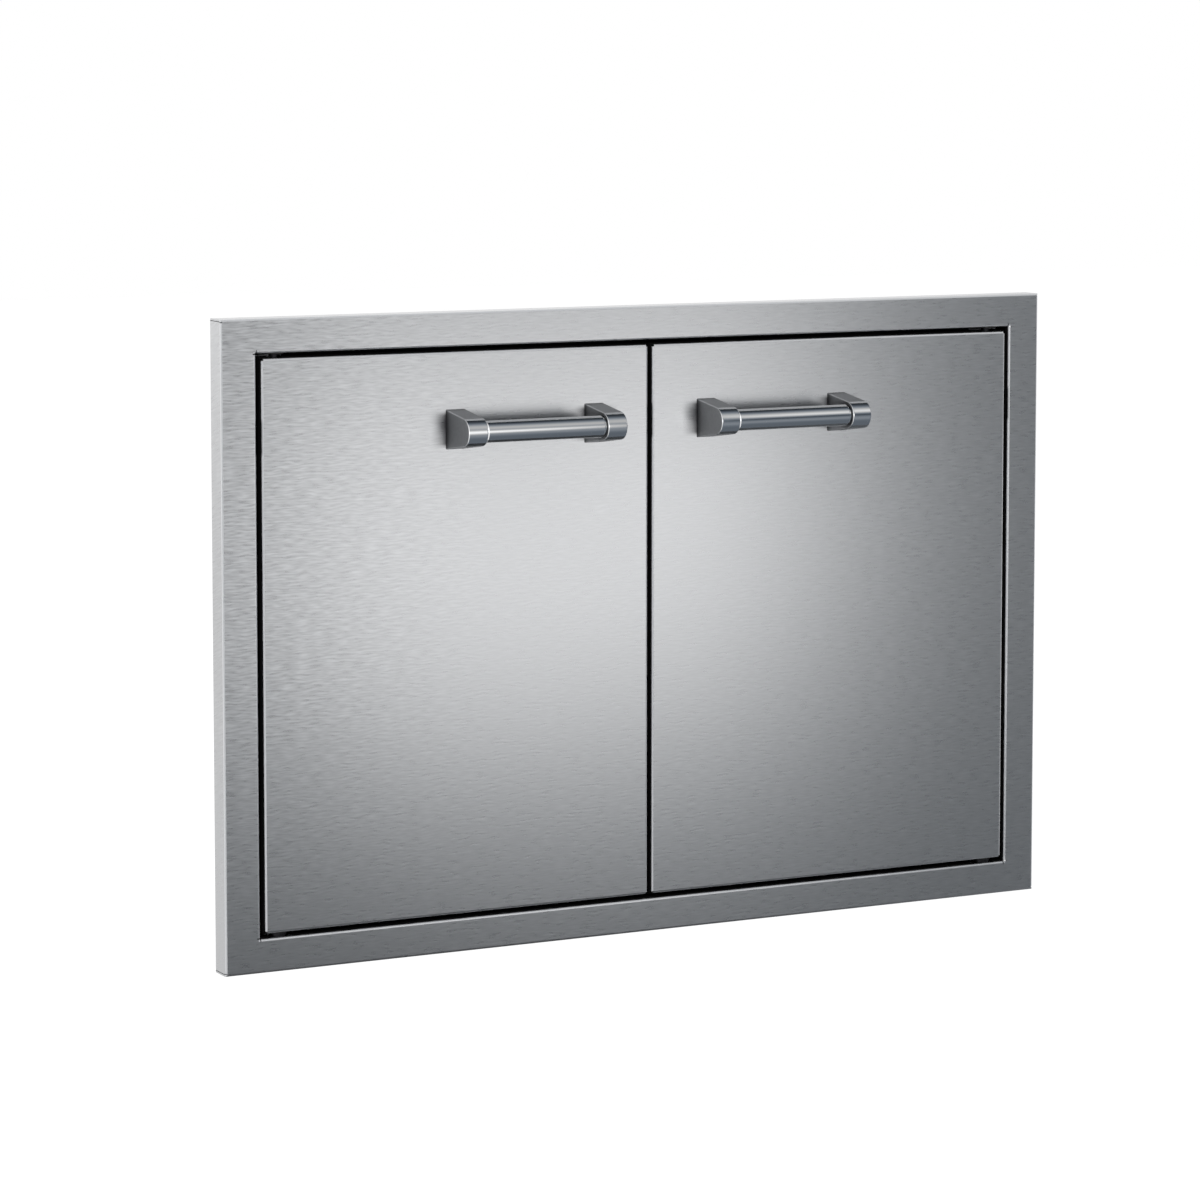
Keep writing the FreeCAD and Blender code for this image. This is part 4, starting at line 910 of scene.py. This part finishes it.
def sheet_tent(handles):
    """Light tent for all but the handles: even and white behind the doors, and in front dim with soft glows.

    In front it is dimmest near the floor, and a brighter panel above ends short of the right. Where it is
    dim it is a little cooler.
    """
    cool, plain = (0.87, 0.945, 1.02), (1.0, 1.0, 1.0)
    made = tent_shell("Sheet tent", tent_radius)
    finish, wires, place = material("Sheet tent light")
    axes = wires.axes(place)
    dim = wires.ramp(axes[2], -0.85, -0.55, 0.03, 0.09, smooth=True)
    above = wires.ramp(axes[2], 0.25, 0.45, 0.0, 0.5, smooth=True)
    short_of_right = wires.ramp(axes[0], 0.80, 1.05, 1.0, 0.0, smooth=True)
    light = wires.plus(dim, wires.times(above, short_of_right))
    for centre, size, strength in SHEET_GLOWS:
        glow = use(wires, GLOW, Vector=place, Centre=centre, Size=size, Strength=strength)
        light = wires.plus(light, glow["Light"])
    past_doors = wires.ramp(axes[1], 0.2, 0.95, smooth=True)
    off_floor = wires.ramp(axes[2], -0.85, -0.5, smooth=True)
    behind = wires.times(past_doors, off_floor)
    back_light = wires.ramp(axes[2], -0.1, 0.35, 0.80, 1.0, smooth=True)
    in_front = wires.times(wires.minus(1.0, behind), light)
    level = wires.plus(in_front, wires.times(behind, back_light))
    tint = wires.mix_colour(wires.ramp(level, 0.12, 0.7), cool, plain)
    light_the_tent(made, finish, wires, level, tint, seen_through=False)
    light_only(made, handles, "EXCLUDE")


def handle_tent(handles):
    """Light tent for the handles alone, in soft bands.

    A bar shows the tent by angle round its own axis, which is nought straight in front of it and rises
    upwards. Each band adds its strength times e to the power of minus half the squared distance of that
    angle from the band's, measured in widths, and fades in between two places along X. Besides the bands
    there is a faint even light, fainter above the middle, and a bright left end.
    """
    cool, plain = (0.83, 0.97, 1.15), (1.0, 1.0, 1.0)
    made = tent_shell("Handle tent", 0.95 * tent_radius)
    finish, wires, place = material("Handle tent light")
    axes = wires.axes(place)
    rise = wires.minus(axes[2], handle_z)
    ahead = wires.minus(bar_y, axes[1])
    angle = wires.math("DEGREES", wires.math("ARCTAN2", rise, ahead))
    even = wires.ramp(angle, -125.0, -100.0, 0.0, 0.145, smooth=True)
    below_middle = wires.ramp(angle, 4.0, -12.0, 0.2, 1.0, smooth=True)
    left_end = wires.ramp(axes[0], -0.45, -0.95, 0.0, 0.9, smooth=True)
    level = wires.plus(wires.times(even, below_middle), left_end)
    for middle, width, strength, dark_x, full_x in HANDLE_BANDS:
        away = wires.math("DIVIDE", wires.minus(angle, middle), width)
        fall = wires.math("EXPONENT", wires.times(wires.times(away, away), -0.5))
        shown = wires.ramp(axes[0], dark_x, full_x, 0.0, strength, smooth=True)
        level = wires.plus(level, wires.times(fall, shown))
    tint = wires.mix_colour(wires.ramp(level, 0.12, 0.5), cool, plain)
    light_the_tent(made, finish, wires, level, tint, seen_through=True)
    light_only(made, handles, "INCLUDE")


dress_doors()
dress_frame()
posts = [node for name, node in NODES.items() if name.endswith("_handle_post")]
bars = [node for name, node in NODES.items() if name.endswith("_handle_bar")]

# Reflections do not see the posts, so the sheet shows them only by the painted shade round their feet.
for post in posts:
    post.visible_glossy = False

floor()
studio_world()
sheet_tent(posts + bars)
handle_tent(posts + bars)
lamp("Key", place=(-2.2, -2.6, 2.6), size=1.8, power=110)
lamp("Fill", place=(2.6, -2.2, 1.2), size=1.6, power=35)

camera = bpy.data.objects.new("Camera", bpy.data.cameras.new("Camera"))
bpy.context.scene.collection.objects.link(camera)
camera.location = camera_place
camera.rotation_euler = (math.radians(90 - camera_pitch), 0, math.radians(-camera_yaw))
camera.data.sensor_width = 36
camera.data.lens = camera_lens
camera.data.shift_y = camera_rise
camera.data.clip_end = 60
bpy.context.scene.camera = camera

bpy.context.scene.view_settings.view_transform = "Standard"
